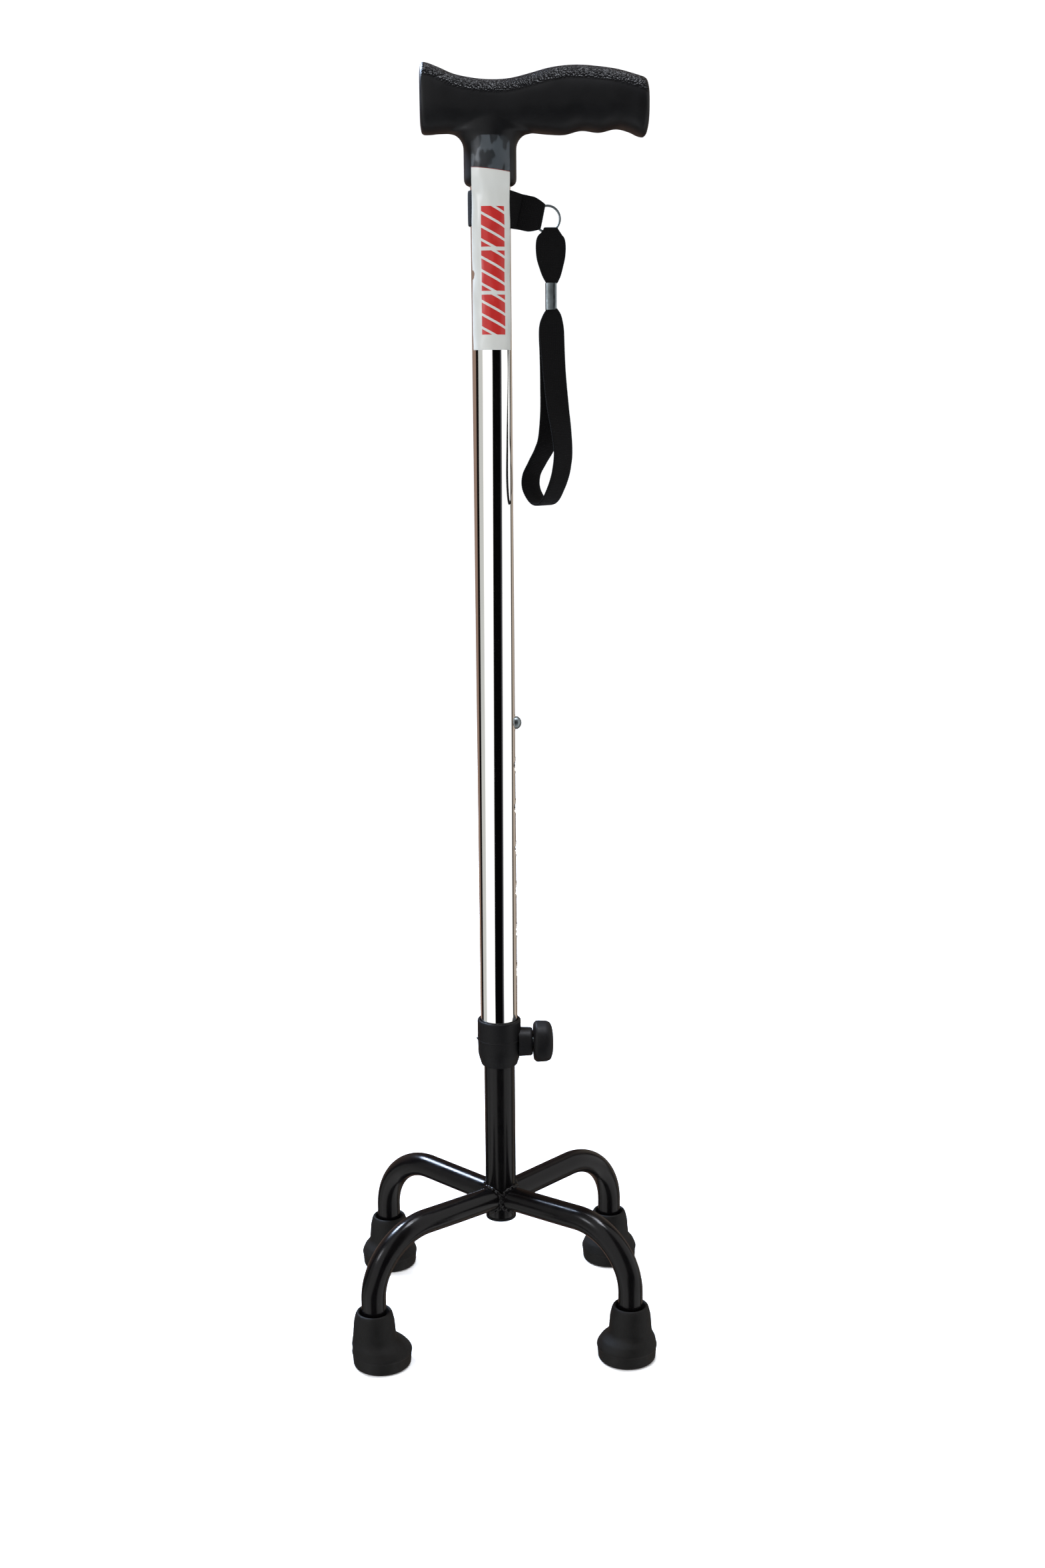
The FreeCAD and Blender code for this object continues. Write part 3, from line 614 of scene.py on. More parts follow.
def build_handle(sizes):
    """Arm and neck merged on a fine voxel grid and relaxed, so that the neck flows into the arm."""
    neck_r = TUBE_R + sizes.neck_wall
    meshes = []
    for grid in (arm_grid(sizes.grip_width / 2), neck_grid(neck_r)):
        mesh = mesh_from_grid("grip", grid)
        tidy_mesh(mesh)
        meshes.append(mesh)
    obj = piece("grip", joined("grip", meshes), "upper", "grip_plastic", ["handle"])
    remesh = obj.modifiers.new("merge", "REMESH")
    remesh.mode = "VOXEL"
    remesh.voxel_size = VOXEL * MM
    relax = obj.modifiers.new("relax", "SMOOTH")
    relax.iterations = 5
    relax.factor = 0.5
    mesh = baked(obj)
    co = np.empty(len(mesh.vertices) * 3)
    mesh.vertices.foreach_get("co", co)
    x, z = (co.reshape(-1, 3) / MM)[:, ::2].T
    top = GRIP_Z + curve_at(np.array(ARM), np.clip(x, ARM_START, ARM_END))[:, 1]
    grain = np.clip((z - (top - sizes.grain_depth)) / 1.6 + 0.5, 0, 1)
    grain *= np.clip((x + 36.6) / 0.8, 0, 1) * np.clip((86.0 - x) / 0.8, 0, 1)
    mesh.attributes.new("grain", "FLOAT", "POINT").data.foreach_set("value", grain.astype(np.float32))
    mesh.shade_smooth()


# ---------------------------------------------------------------- tubes
HOLE_PITCH = 25.0
HOLE_COUNT = 7
HOLE_R = 4.1
RIM_REACH = 0.36          # grid points this near a hole's rim are pulled onto it
TUBE_WALL = 1.5


def build_tube(sizes):
    """Outer tube: a cylinder grid, finer at the holes, with its nearest points pulled onto each rim."""
    holes = BUTTON_Z - HOLE_PITCH * np.arange(HOLE_COUNT)
    near = np.linspace(-6.5, 6.5, 27)
    rows = np.unique(np.concatenate([np.linspace(TUBE_LOW, TUBE_HIGH, 80), (holes[:, None] + near).ravel()]))
    rows = rows[np.append(np.diff(rows) > 0.15, True)]
    fine = np.radians(np.linspace(-34, 34, 29))
    coarse = np.radians(np.linspace(34, 326, 66))[1:-1]
    angle = np.concatenate([fine, coarse])
    z, a = np.meshgrid(rows, angle, indexing="ij")
    arc = TUBE_R * ((a + np.pi) % (2 * np.pi) - np.pi)
    nearest = holes[np.abs(z[..., None] - holes).argmin(axis=-1)]
    dz = z - nearest
    distance = np.hypot(arc, dz)
    on_rim = (np.abs(distance - HOLE_R) < RIM_REACH) & (distance > 0)
    pull = np.where(on_rim, HOLE_R / np.maximum(distance, 1e-6), 1.0)
    a = np.where(on_rim, arc * pull / TUBE_R, a)
    z = np.where(on_rim, nearest + dz * pull, z)
    burr = sizes.burr * np.exp(-(((np.maximum(distance, HOLE_R) - HOLE_R) / 0.7) ** 2))
    radius = TUBE_R + np.where(np.abs(arc) < 8, burr, 0)
    grid = np.stack([radius * np.cos(a), radius * np.sin(a), z], axis=-1)
    mesh = mesh_from_grid("outer_tube", grid)
    opened_out(mesh, (distance < HOLE_R - RIM_REACH).ravel())
    obj = piece("outer_tube", mesh, "upper", "polished_tube", ["upper_tube"])
    wall = obj.modifiers.new("wall", "SOLIDIFY")
    wall.thickness = TUBE_WALL * MM
    wall.offset = -1
    mesh = baked(obj)
    mesh.shade_smooth()
    mesh.set_sharp_from_angle(angle=math.radians(32))


def build_stem():
    """Inner tube, turned with its wall's thickness, and the plug that closes its lower end."""
    bore = STEM_R - TUBE_WALL
    profile = [(bore, STEM_LOW + 12), (bore, STEM_HIGH), (STEM_R, STEM_HIGH), (STEM_R, STEM_LOW + 2.2)]
    inner = [(bore, STEM_LOW + 2.2)]
    grid = turned(rounded(profile + inner, 0.3, 3), 96)
    grid = np.concatenate([grid, grid[:1]])
    solid_piece("stem", [grid], "base", "painted_steel", ["stem_tube"])
    cap = [(0, STEM_LOW), (STEM_R, STEM_LOW), (STEM_R, STEM_LOW + 2.1), (0, STEM_LOW + 2.1)]
    solid_piece("stem_plug", [turned(rounded(cap, 0.9, 5), 96)], "base", "black_plastic", ["stem_end_cap"])


# ---------------------------------------------------------------- legs, weld and tips
# round beads where the torch stopped: angle round the stem, height over the leg axes, radius
NUGGETS = (
    (229, 5.6, 2.1), (247, 3.2, 1.5), (312, 5.0, 1.9), (300, 1.5, 1.4), (170, 7.6, 1.6), (20, 6.8, 1.5),
)


def lean_of(sizes, place):
    """How far a tip's neck stands off its flange, sideways: the front ones have been trodden outwards."""
    return {"front_left": -sizes.lean_left, "front_right": sizes.lean_right}.get(place, 0.0)


def leg_path(sizes, foot, lean):
    """Centre line: a rising straight run from the hub, an arc, and a straight drop into the tip."""
    reach = np.hypot(*foot[:2])
    rise = sizes.leg_rise
    turn = math.pi / 2 + rise
    tangent = sizes.bend_radius * math.tan(turn / 2)
    corner = np.array([reach, sizes.hub_height + reach * math.tan(rise)])
    run = corner - tangent * np.array([math.cos(rise), math.sin(rise)])
    centre = np.array([reach - sizes.bend_radius, corner[1] - tangent])
    sweep = np.linspace(math.pi / 2 + rise, 0, 44)
    arc = centre + sizes.bend_radius * np.stack([np.cos(sweep), np.sin(sweep)], axis=-1)
    first = np.linspace([0, sizes.hub_height], run, 26)[:-1]
    last = np.linspace(arc[-1], [reach, foot[2]], 8)[1:]
    s, z = np.concatenate([first, arc, last]).T
    spread = (foot[0] + lean * (s / reach) ** 2) / reach
    return np.stack([s * spread, s * foot[1] / reach, z], axis=-1)


def weld_grid(sizes, foot, seed):
    """Bead along the line where the leg's round meets the stem's round, thickened in uneven ripples."""
    leg_r = sizes.leg_diameter / 2
    rise = sizes.leg_rise
    out = np.array([*(np.array(foot[:2]) / np.hypot(*foot[:2]) * math.cos(rise)), math.sin(rise)])
    side = unit(np.cross(out, [0, 0, 1.0]))
    up = np.cross(side, out)
    angle = turn_angles(120)
    ring = leg_r * (np.cos(angle)[:, None] * side + np.sin(angle)[:, None] * up)
    # distance along the leg at which the ring's point lies on the stem: the positive root of a quadratic
    a = out[0] ** 2 + out[1] ** 2
    b = ring[:, 0] * out[0] + ring[:, 1] * out[1]
    c = ring[:, 0] ** 2 + ring[:, 1] ** 2 - STEM_R**2
    along = (-b + np.sqrt(np.maximum(b * b - a * c, 0))) / a
    path = np.array([0, 0, sizes.hub_height]) + ring + along[:, None] * out
    ripple = 1 + 0.16 * np.sin(17 * angle + seed) + 0.1 * np.sin(5 * angle + 2.1 * seed)
    section = turn_angles(14)
    away = unit(path * [1, 1, 0]) * 0.5 + unit(ring) * 0.5
    forward = unit(np.roll(path, -1, axis=0) - np.roll(path, 1, axis=0))
    away = unit(away - (away * forward).sum(axis=1, keepdims=True) * forward)
    other = np.cross(forward, away)
    size = sizes.weld_size * ripple[:, None, None]
    return path[:, None] + size * (
        np.cos(section)[None, :, None] * away[:, None] + np.sin(section)[None, :, None] * other[:, None]
    )


def foot_point(place):
    """Where a leg ends: over its tip's middle, on the washer."""
    box = extent("foot_tip_" + place)
    return np.array([*box[:, :2].mean(axis=0), extent("tip_washers")[1, 2]])


def build_legs(sizes):
    """Each leg is a circle carried along its centre line."""
    circle = turn_angles(56)
    for place in PLACES:
        foot = foot_point(place)
        path = leg_path(sizes, foot, lean_of(sizes, place))
        side = np.repeat(unit(np.cross(foot * [1, 1, 0], [0, 0, 1.0]))[None], len(path), axis=0)
        radius = sizes.leg_diameter / 2
        outline = (np.cos(circle)[None] * radius, np.sin(circle)[None] * radius)
        grid = swept(path, side, outline)
        solid_piece("leg_" + place + "_tube", [capped(grid)], "base", "painted_steel", ["leg_" + place])
    beads = []
    for seed, place in enumerate(PLACES):
        mesh = mesh_from_grid("weld", weld_grid(sizes, foot_point(place), 1.3 * seed), wrap_rows=True)
        tidy_mesh(mesh, 80)
        beads.append(mesh)
    for turn, height, size in NUGGETS:
        angle = math.radians(turn)
        spot = (STEM_R * math.cos(angle), STEM_R * math.sin(angle), sizes.hub_height + height)
        lap = np.linspace(0, math.pi, 12)
        ball = np.stack([size * np.sin(lap), -size * 0.85 * np.cos(lap)], axis=-1)
        mesh = mesh_from_grid("nugget", turned(ball, 20, centre=spot))
        tidy_mesh(mesh, 80)
        beads.append(mesh)
    bead = joined("weld_bead", beads)
    bead.shade_smooth()
    piece("weld_bead", bead, "base", "painted_steel", ["hub_weld"])


TREAD_GROOVES = ((6.0, 7.6), (11.0, 12.6))
TREAD_DEPTH = 1.2


def build_tips(sizes):
    """Turned rubber tip: tread, flange, cone, barrel neck with a rolled rim, and the socket's mouth."""
    for place in PLACES:
        box = extent("foot_tip_" + place)
        flange = np.ptp(box[:, 0]) / 2
        height = box[1, 2]
        mouth = sizes.leg_diameter / 2 + 1.1
        centre = (*box[:, :2].mean(axis=0), 0)
        tread = [(0, 0.0)]
        for inner, outer in TREAD_GROOVES:
            tread += [(inner, 0.0), (inner, TREAD_DEPTH), (outer, TREAD_DEPTH), (outer, 0.0)]
        side = [
            (flange - 1.9, 0.0), (flange - 0.9, 1.0), (flange - 0.35, 7.4), (flange, 8.3),
            (flange - 0.35, 9.6), (flange - 1.7, 12.8), (flange - 4.0, 15.6), (12.7, 17.4),
            (12.3, 22.0), (11.9, 27.0), (10.9, 31.2), (10.3, height - 0.5),
        ]
        rim = [(9.8, height), (mouth + 0.5, height - 0.1), (mouth, height - 0.9), (mouth - 0.3, height - 4.0)]
        floor = [(sizes.leg_diameter / 2 - 0.4, height - 5.0), (0, height - 5.0)]
        grid = turned(rounded(tread + side + rim + floor, 0.8, 4), 88, centre=centre)
        bend = np.clip((grid[..., 2] - 9) / 9, 0, 1)
        grid[..., 0] += lean_of(sizes, place) * bend * bend * (3 - 2 * bend)
        solid_piece("tip_" + place, [grid], "base", "black_rubber", ["foot_tip_" + place], 50)


# ---------------------------------------------------------------- button, collar and knob
def build_button():
    """Turned steel button: a flange inside the stem, a straight shank and a dome."""
    r = 3.7
    dome = 2.4
    flange_r, flange = 4.6, 1.2
    sphere = (r * r + dome * dome) / (2 * dome)
    bulge = np.linspace(math.asin(r / sphere), 0, 14)
    cap = np.stack([sphere * np.sin(bulge), BUTTON_TIP_X - sphere * (1 - np.cos(bulge))], axis=-1)
    low = extent("snap_button")[0, 0]
    shank = [(0, low), (flange_r, low), (flange_r, low + flange), (r, low + flange)]
    grid = turned(np.vstack([shank, cap]), 48, "x", (0, 0, BUTTON_Z))
    solid_piece("button", [grid], "snap_button", "plain_steel", ["snap_button"])


def build_collar():
    """Turned collar with a tapered foot, a parting ridge and a soft rim, and a boss for the knob's screw."""
    r = TUBE_R + 1.9
    seam = KNOB_Z + 2.2
    foot_r = TUBE_R - 0.3
    profile = [
        (STEM_R + 0.12, COLLAR_LOW + 1), (STEM_R + 0.2, COLLAR_LOW), (foot_r, COLLAR_LOW),
        (r - 0.9, COLLAR_LOW + 4.2), (r - 0.2, COLLAR_LOW + 7.4), (r, seam - 0.2),
        (r + 0.36, seam), (r + 0.36, seam + 0.5), (r + 0.05, seam + 0.9),
        (r + 0.1, COLLAR_HIGH - 0.9), (r - 0.5, COLLAR_HIGH), (TUBE_R + 0.55, COLLAR_HIGH - 0.1),
        (TUBE_R + 0.05, COLLAR_HIGH - 1.2), (TUBE_R + 0.05, COLLAR_LOW + 6), (STEM_R + 0.12, COLLAR_LOW + 6),
        (STEM_R + 0.12, COLLAR_LOW + 1),
    ]
    count = 132
    body = turned(refined(rounded(profile, 0.5, 4), 0.9), count)
    notch_at = math.radians(20)
    angle = turn_angles(count)
    near = np.exp(-(((angle - notch_at) / 0.055) ** 4))
    top = body[..., 2] > COLLAR_HIGH - 1.3
    body[..., 2] -= np.where(top, 1.3 * near, 0)
    # a bore through the wall for the clamp pad: grid points near its rim are pulled onto it, those inside go
    bore_r = 3.9
    rim_reach = 0.62
    dy, dz = body[..., 1], body[..., 2] - KNOB_Z
    distance = np.where(body[..., 0] > 0, np.hypot(dy, dz), 99.0)
    rim = np.abs(distance - bore_r) < rim_reach
    body[..., 1] = np.where(rim, dy * bore_r / distance, dy)
    body[..., 2] = np.where(rim, KNOB_Z + dz * bore_r / distance, body[..., 2])
    wall = np.hypot(body[..., 0], dy)
    body[..., 0] = np.where(rim, np.sqrt(wall**2 - body[..., 1] ** 2), body[..., 0])
    shell = mesh_from_grid("collar", body)
    opened_out(shell, (distance < bore_r - rim_reach).ravel(), bridge=True)
    boss_r = 8.6
    screw_r = 3.3
    boss = [
        (bore_r, 3.5), (boss_r + 0.25, 3.5), (boss_r, BOSS_END_X - 1.2), (boss_r - 0.6, BOSS_END_X),
        (screw_r, BOSS_END_X), (screw_r, 15.0), (bore_r, 15.0), (bore_r, 3.5),
    ]
    stub = turned(rounded(boss, 0.6, 4), 72, "x", (0, 0, KNOB_Z))
    stub[..., 0] = np.maximum(stub[..., 0], TUBE_R + 0.6)
    nub_path = np.linspace([-r - 0.2, 0, seam + 0.3], [-r - 1.1, -0.3, seam + 1.1], 5)
    nub_side = np.repeat([[0.0, 1.0, 0.0]], 5, axis=0)
    nub_size = np.array([0.9, 0.75, 0.55, 0.35, 0.12])[:, None]
    circle = turn_angles(12)[None]
    nub = capped(swept(nub_path, nub_side, (nub_size * np.cos(circle), nub_size * 0.5 * np.sin(circle))))
    solid_piece("collar", [stub, nub], "upper", "black_plastic", ["lock_collar"], extra=[shell])


def build_knob():
    """Turned knob: bevelled back edge, faintly drafted side, rounded front corner and a low dome."""
    low, high = KNOB_X
    r = KNOB_R
    profile = [
        (0, low + 0.6), (3.0, low + 0.6), (4.6, low), (r - 1.9, low), (r - 0.1, low + 1.7), (r, low + 3.2),
        (r - 0.25, high - 4.2), (r - 1.2, high - 1.9), (r - 3.4, high - 0.9), (r * 0.5, high - 0.25),
        (0, high),
    ]
    grid = turned(rounded(profile, 1.3, 6), 96, "x", (0, 0, KNOB_Z))
    solid_piece("knob", [grid], "knob", "black_plastic", ["knob_head"])


# ---------------------------------------------------------------- label
LABEL_HALF = 10.45


def build_label(sizes):
    """Film down the front: radius follows the neck, the webbing and the tube, with shallow creases."""
    neck = TUBE_R + sizes.neck_wall + 0.16
    over_band = TUBE_R + 1.66
    knots = [
        (LABEL_LOW, TUBE_R + 0.12), (GRIP_Z - 34.5, TUBE_R + 0.14), (GRIP_Z - 30.0, TUBE_R + 0.25),
        (GRIP_Z - 22.5, over_band), (GRIP_Z - 12, over_band + 0.25), (GRIP_Z - 3.5, over_band + 0.5),
        (GRIP_Z + 3.5, neck - 0.25), (GRIP_Z + 7, neck), (LABEL_HIGH, neck),
    ]
    z = np.linspace(LABEL_LOW, LABEL_HIGH - 0.2, 190)
    x = np.linspace(-LABEL_HALF, LABEL_HALF, 56)
    radius = curve_at(knots, z)[:, 0]
    zz, xx = np.meshgrid(z, x, indexing="ij")
    crease = 0.10 * np.sin(0.9 * xx + 0.21 * zz) * np.sin(0.11 * zz + 1.0)
    crease = crease + 0.07 * np.sin(0.35 * xx - 0.33 * zz)
    edge = 0.5 * (xx / LABEL_HALF) ** 8 * (1 + np.sin(0.19 * zz))
    lift = np.clip(crease + 0.12 + 0.35 * edge, 0.02, None)
    y = -np.sqrt((radius[:, None] + lift) ** 2 - xx**2)
    edge_wave = 0.25 * np.sin(0.16 * zz) * (xx / LABEL_HALF)
    grid = np.stack([xx + np.minimum(0, edge_wave * np.sign(xx)) * np.sign(xx), y, zz], axis=-1)
    mesh = mesh_from_grid("label_film", grid, wrap_cols=False)
    uv = mesh.uv_layers["cloth"].data
    corners = np.empty(len(uv) * 2)
    uv.foreach_get("uv", corners)
    corners = corners.reshape(-1, 2)
    corners[:, 0] -= corners[:, 0].max() / 2
    uv.foreach_set("uv", corners.astype(np.float32).ravel())
    over = zz - (GRIP_Z + sizes.clear_height - 0.12 * xx)
    over_edge = mesh.attributes.new("over_edge", "FLOAT", "POINT")
    over_edge.data.foreach_set("value", over.astype(np.float32).ravel())
    mesh.shade_smooth()
    obj = piece("label_film", mesh, "upper", "label_film", ["label"])
    film = obj.modifiers.new("film", "SOLIDIFY")
    film.thickness = 0.12 * MM
    film.offset = 1
    baked(obj)


# ---------------------------------------------------------------- webbing
def ribbon_outline(half_width, thickness, count=28):
    """Flat section with round edges: a superellipse of power 5."""
    c, s = power_wave(turn_angles(count), 5)
    return half_width[:, None] * c, (thickness / 2)[:, None] * s, c


def ribbon(name, path, side, half_width, thickness, body, nodes):
    """A webbing strip along a path, woven both ways on its UV map."""
    across, out, share = ribbon_outline(half_width, thickness)
    grid = capped(swept(path, side, (across, out)))
    mesh = mesh_from_grid(name, grid, across=share * np.max(half_width))
    tidy_mesh(mesh, 60)
    return piece(name, mesh, body, "black_webbing", nodes)


def build_band(sizes):
    """One strip: fold-back end, fold round the ring, back layer, once round the tube, front layer."""
    web = sizes.web_thickness
    mid_r = TUBE_R + 0.06 + web / 2
    layer = 0.87 + web / 2
    fold_x = RING_CENTRE[0] - RING_R + 3.2
    join_x = TUBE_R + 6.0
    half_turn = np.linspace(-math.pi / 2, math.pi / 2, 13)
    fold = np.stack([fold_x + layer * np.cos(half_turn), layer * np.sin(half_turn)], axis=-1)
    join = np.array([join_x, layer])
    reach = math.acos(mid_r / np.hypot(*join))
    start = math.atan2(join[1], join[0]) + reach
    end_point = np.array([join_x, 0.0])
    end = 2 * math.pi - math.acos(mid_r / join_x)
    around = np.linspace(start, end, 60)
    loop = mid_r * np.stack([np.cos(around), np.sin(around)], axis=-1)
    flat = np.vstack([
        np.linspace([TUBE_R + 5.2, -layer], fold[0], 14)[:-1], fold, np.linspace(fold[-1], join, 14)[1:-1],
        np.linspace(join, loop[0], 10)[:-1], loop, np.linspace(loop[-1], end_point, 10)[1:-1],
        np.linspace(end_point, [fold_x - 3.4, 0], 8),
    ])
    slope = math.tan(sizes.tail_slope)
    tail = np.clip((flat[:, 0] - 4) / 10, 0, 1)
    tail = tail * tail * (3 - 2 * tail)
    middle = GRIP_Z - 11.6
    z = middle - tail * np.maximum(flat[:, 0] - 8, 0) * slope
    path = np.column_stack([flat, z])
    side = np.column_stack([tail * slope, np.zeros(len(flat)), np.ones(len(flat))])
    pinch = np.clip((flat[:, 0] - (fold_x - 5)) / 6.5, 0, 1)
    half = sizes.web_width / 2 + 1.1 - 2.4 * pinch**1.5
    ribbon("tube_band", path, side, half, np.full(len(path), web), "upper", ["strap_band"])


# hand strap: x, y, z of the centre line, direction of the width (degrees from +X), half width, thickness
UPPER_LOOP = (
    (33.6, -1.15, 615.0, 0, 3.2, 1.9), (33.5, -1.25, 618.5, 0, 5.0, 1.7), (33.3, -1.5, 623.0, 0, 6.5, 1.5),
    (33.1, -1.9, 628.5, 0, 7.9, 1.4), (33.0, -2.0, 634.5, 0, 8.35, 1.4), (33.0, -1.85, 639.0, 0, 7.6, 1.4),
    (33.1, -1.72, 641.6, 0, 5.6, 1.4), (33.1, -1.2, 643.6, 0, 4.1, 1.4), (33.1, 0.0, 644.2, 0, 3.9, 1.4),
    (33.1, 1.2, 643.6, 0, 4.1, 1.4), (33.1, 1.72, 641.6, 0, 5.6, 1.4), (33.0, 1.85, 639.0, 0, 7.6, 1.4),
    (33.0, 2.0, 634.5, 0, 8.2, 1.4), (33.1, 1.9, 628.5, 0, 7.8, 1.4), (33.3, 1.5, 623.0, 0, 6.4, 1.5),
    (33.5, 1.25, 618.5, 0, 4.9, 1.7), (33.6, 1.15, 615.0, 0, 3.1, 1.9),
)
HAND_LOOP = (
    (33.6, -1.1, 601.2, 0, 3.0, 1.9), (33.6, -1.4, 597.0, 0, 5.4, 1.5), (33.3, -1.7, 590.0, 0, 6.9, 1.4),
    (34.0, -2.2, 577.0, 4, 6.7, 1.4), (34.9, -3.0, 563.7, 12, 6.6, 1.4), (36.6, -3.9, 547.3, 24, 6.8, 1.4),
    (38.2, -5.2, 535.5, 34, 7.0, 1.4), (39.2, -6.6, 524.0, 40, 7.0, 1.4), (38.7, -7.8, 516.6, 42, 7.0, 1.4),
    (37.3, -8.4, 509.4, 42, 7.0, 1.4), (34.9, -7.2, 502.3, 42, 7.0, 1.4), (31.8, -3.9, 495.8, 42, 7.0, 1.4),
    (28.3, 0.0, 493.5, 42, 7.0, 1.4), (24.8, 3.9, 495.8, 42, 7.0, 1.4), (21.7, 7.2, 502.3, 42, 7.0, 1.4),
    (21.9, 8.3, 509.4, 42, 7.0, 1.4), (25.2, 7.0, 516.6, 40, 7.0, 1.4), (29.0, 5.4, 523.7, 36, 7.0, 1.4),
    (31.6, 4.2, 531.0, 30, 6.9, 1.4), (33.0, 3.2, 545.0, 20, 6.6, 1.4), (33.2, 2.7, 560.0, 12, 6.5, 1.4),
    (33.2, 2.2, 575.0, 5, 6.6, 1.4), (33.2, 1.6, 590.0, 0, 6.9, 1.4), (33.5, 1.35, 597.0, 0, 5.3, 1.5),
    (33.6, 1.1, 601.2, 0, 3.0, 1.9),
)


STRAP_GRIP_Z = 666.4      # height of the handle's neck that the loops' points are set for


def build_strap():
    """Two webbing loops that meet in the crimp: one folded over the ring, one open for the hand."""
    shift = np.array([0, 0, GRIP_Z - STRAP_GRIP_Z])
    for name, knots, count, nodes in (
        ("ring_loop", UPPER_LOOP, 130, ["wrist_strap"]), ("hand_loop", HAND_LOOP, 260, [])
    ):
        curve = smooth_through(knots, count)
        path = curve[:, :3] + shift
        turn = np.radians(curve[:, 3])
        side = np.stack([np.cos(turn), np.sin(turn), np.zeros(count)], axis=-1)
        ribbon(name, path, side, curve[:, 4], curve[:, 5], "wrist_strap", nodes)


def build_ring():
    """Split ring: a wire carried twice round, stepping sideways by its thickness where the turns cross."""
    wire = 0.42
    angle = np.linspace(0.3, 0.3 + 4 * math.pi, 240)
    turn = (angle - 0.3) / (2 * math.pi)
    step = np.clip((turn - 0.93) / 0.14, 0, 1)
    offset = (step * step * (3 - 2 * step) - 0.5) * 2 * wire
    mid_r = RING_R - 0.65
    path = RING_CENTRE + np.stack([mid_r * np.cos(angle), offset, mid_r * np.sin(angle)], axis=-1)
    side = np.repeat([[0.0, 1.0, 0.0]], len(path), axis=0)
    c, s = power_wave(turn_angles(16), 3)
    grid = capped(swept(path, side, (wire * 0.97 * c[None], 0.6 * s[None])))
    solid_piece("ring", [grid], "split_ring", "plain_steel", ["split_ring"], 60)


def build_crimp():
    """Steel ferrule: a strip rolled into a flat oval that laps over itself, pinched at mid height."""
    low, high = CRIMP
    centre = (low + high) / 2
    half_x, half_y = (high - low)[:2] / 2
    rows, columns = 26, 110
    lap_at = math.radians(-112)
    angle = np.linspace(lap_at, lap_at + 2 * math.pi + 0.5, columns)
    c, s = power_wave(angle, 3.2)
    wall = 0.42
    grow = np.linspace(-wall, 0.0, columns)
    height = np.linspace(low[2], high[2], rows)
    pinch = 0.22 * np.exp(-(((height - centre[2]) / 3.6) ** 2))
    layers = []
    for inset in (0.0, wall):
        rx = half_x - 0.1 + grow - inset
        ry = half_y - 0.1 + grow - inset
        x = centre[0] + rx * c + np.zeros((rows, 1))
        y = centre[1] + (ry - pinch[:, None]) * s
        layers.append(np.stack([x, y, np.repeat(height[:, None], columns, axis=1)], axis=-1))
    outer, inner = layers
    # outer face up, top edge over, inner face down: rows run round the strip's height section
    grid = np.concatenate([outer, inner[::-1], outer[:1]])
    mesh = mesh_from_grid("crimp", grid, wrap_cols=False)
    bm = bmesh.new()
    bm.from_mesh(mesh)
    bmesh.ops.remove_doubles(bm, verts=bm.verts, dist=1e-6)
    bmesh.ops.holes_fill(bm, edges=[e for e in bm.edges if e.is_boundary])
    bmesh.ops.recalc_face_normals(bm, faces=bm.faces)
    bm.to_mesh(mesh)
    bm.free()
    mesh.shade_smooth()
    mesh.set_sharp_from_angle(angle=math.radians(35))
    piece("crimp", mesh, "wrist_strap", "plain_steel", ["strap_crimp"])


def build_hidden():
    """Inner pieces keep the frame's own shape and take their finishes."""
    for entry in frame["record"]["subparts"]:
        obj = frame["nodes"][entry["node"]]
        if obj.hide_render:
            continue
        for slot in obj.material_slots:
            slot.material = finish_for(entry["material_slot"])


# ---------------------------------------------------------------- stage
def flag_bands(tree, direction):
    """Studio around the object: pale panels left and right, a dark gap between them, dark side strips."""
    split = add(tree, "SeparateXYZ", {"Vector": direction})
    back = add(tree, "Math", {0: split["Y"], 1: -1.0}, operation="MULTIPLY")[0]
    angle = add(tree, "Math", {0: split["X"], 1: back}, operation="ARCTAN2")[0]
    # the panels lean, so seen higher up they lie further towards +X
    lean = add(tree, "MapRange", span(split["Z"], -0.31, 0.02, -4 / 360, 20 / 360))[0]
    turn = add(tree, "Math", {0: angle, 1: 2 * math.pi}, operation="DIVIDE")[0]
    turn = add(tree, "Math", {0: turn, 1: 0.5}, operation="ADD")[0]
    turn = add(tree, "Math", {0: turn, 1: lean}, operation="SUBTRACT")[0]
    turn = add(tree, "Math", {0: turn}, operation="FRACT")[0]
    colour = add(tree, "ValToRGB", {"Fac": turn})["Color"]
    # degrees from the camera's side, towards +X, where each tone begins
    bands = (
        (-180, "#8A7468"), (-131, "#0E0B0A"), (-109, "#B9BAB7"), (-78, "#FFFFFF"), (-20, "#050505"),
        (27, "#4A4A4E"), (35, "#FFFFFF"), (101, "#2A231D"), (113, "#A2968A"), (144, "#5B4A40"),
    )
    stops = colour.node.color_ramp.elements
    soft = 0.0016
    places = []
    for k, (degrees, tone) in enumerate(bands):
        at = degrees / 360 + 0.5
        if k:
            places.append((at - soft, bands[k - 1][1]))
        places.append((at + soft, tone))
    while len(stops) < len(places):
        stops.new(0.5)
    for stop, (at, tone) in zip(stops, places):
        stop.position = min(max(at, 0), 1)
        stop.color = linear(tone)
    return colour


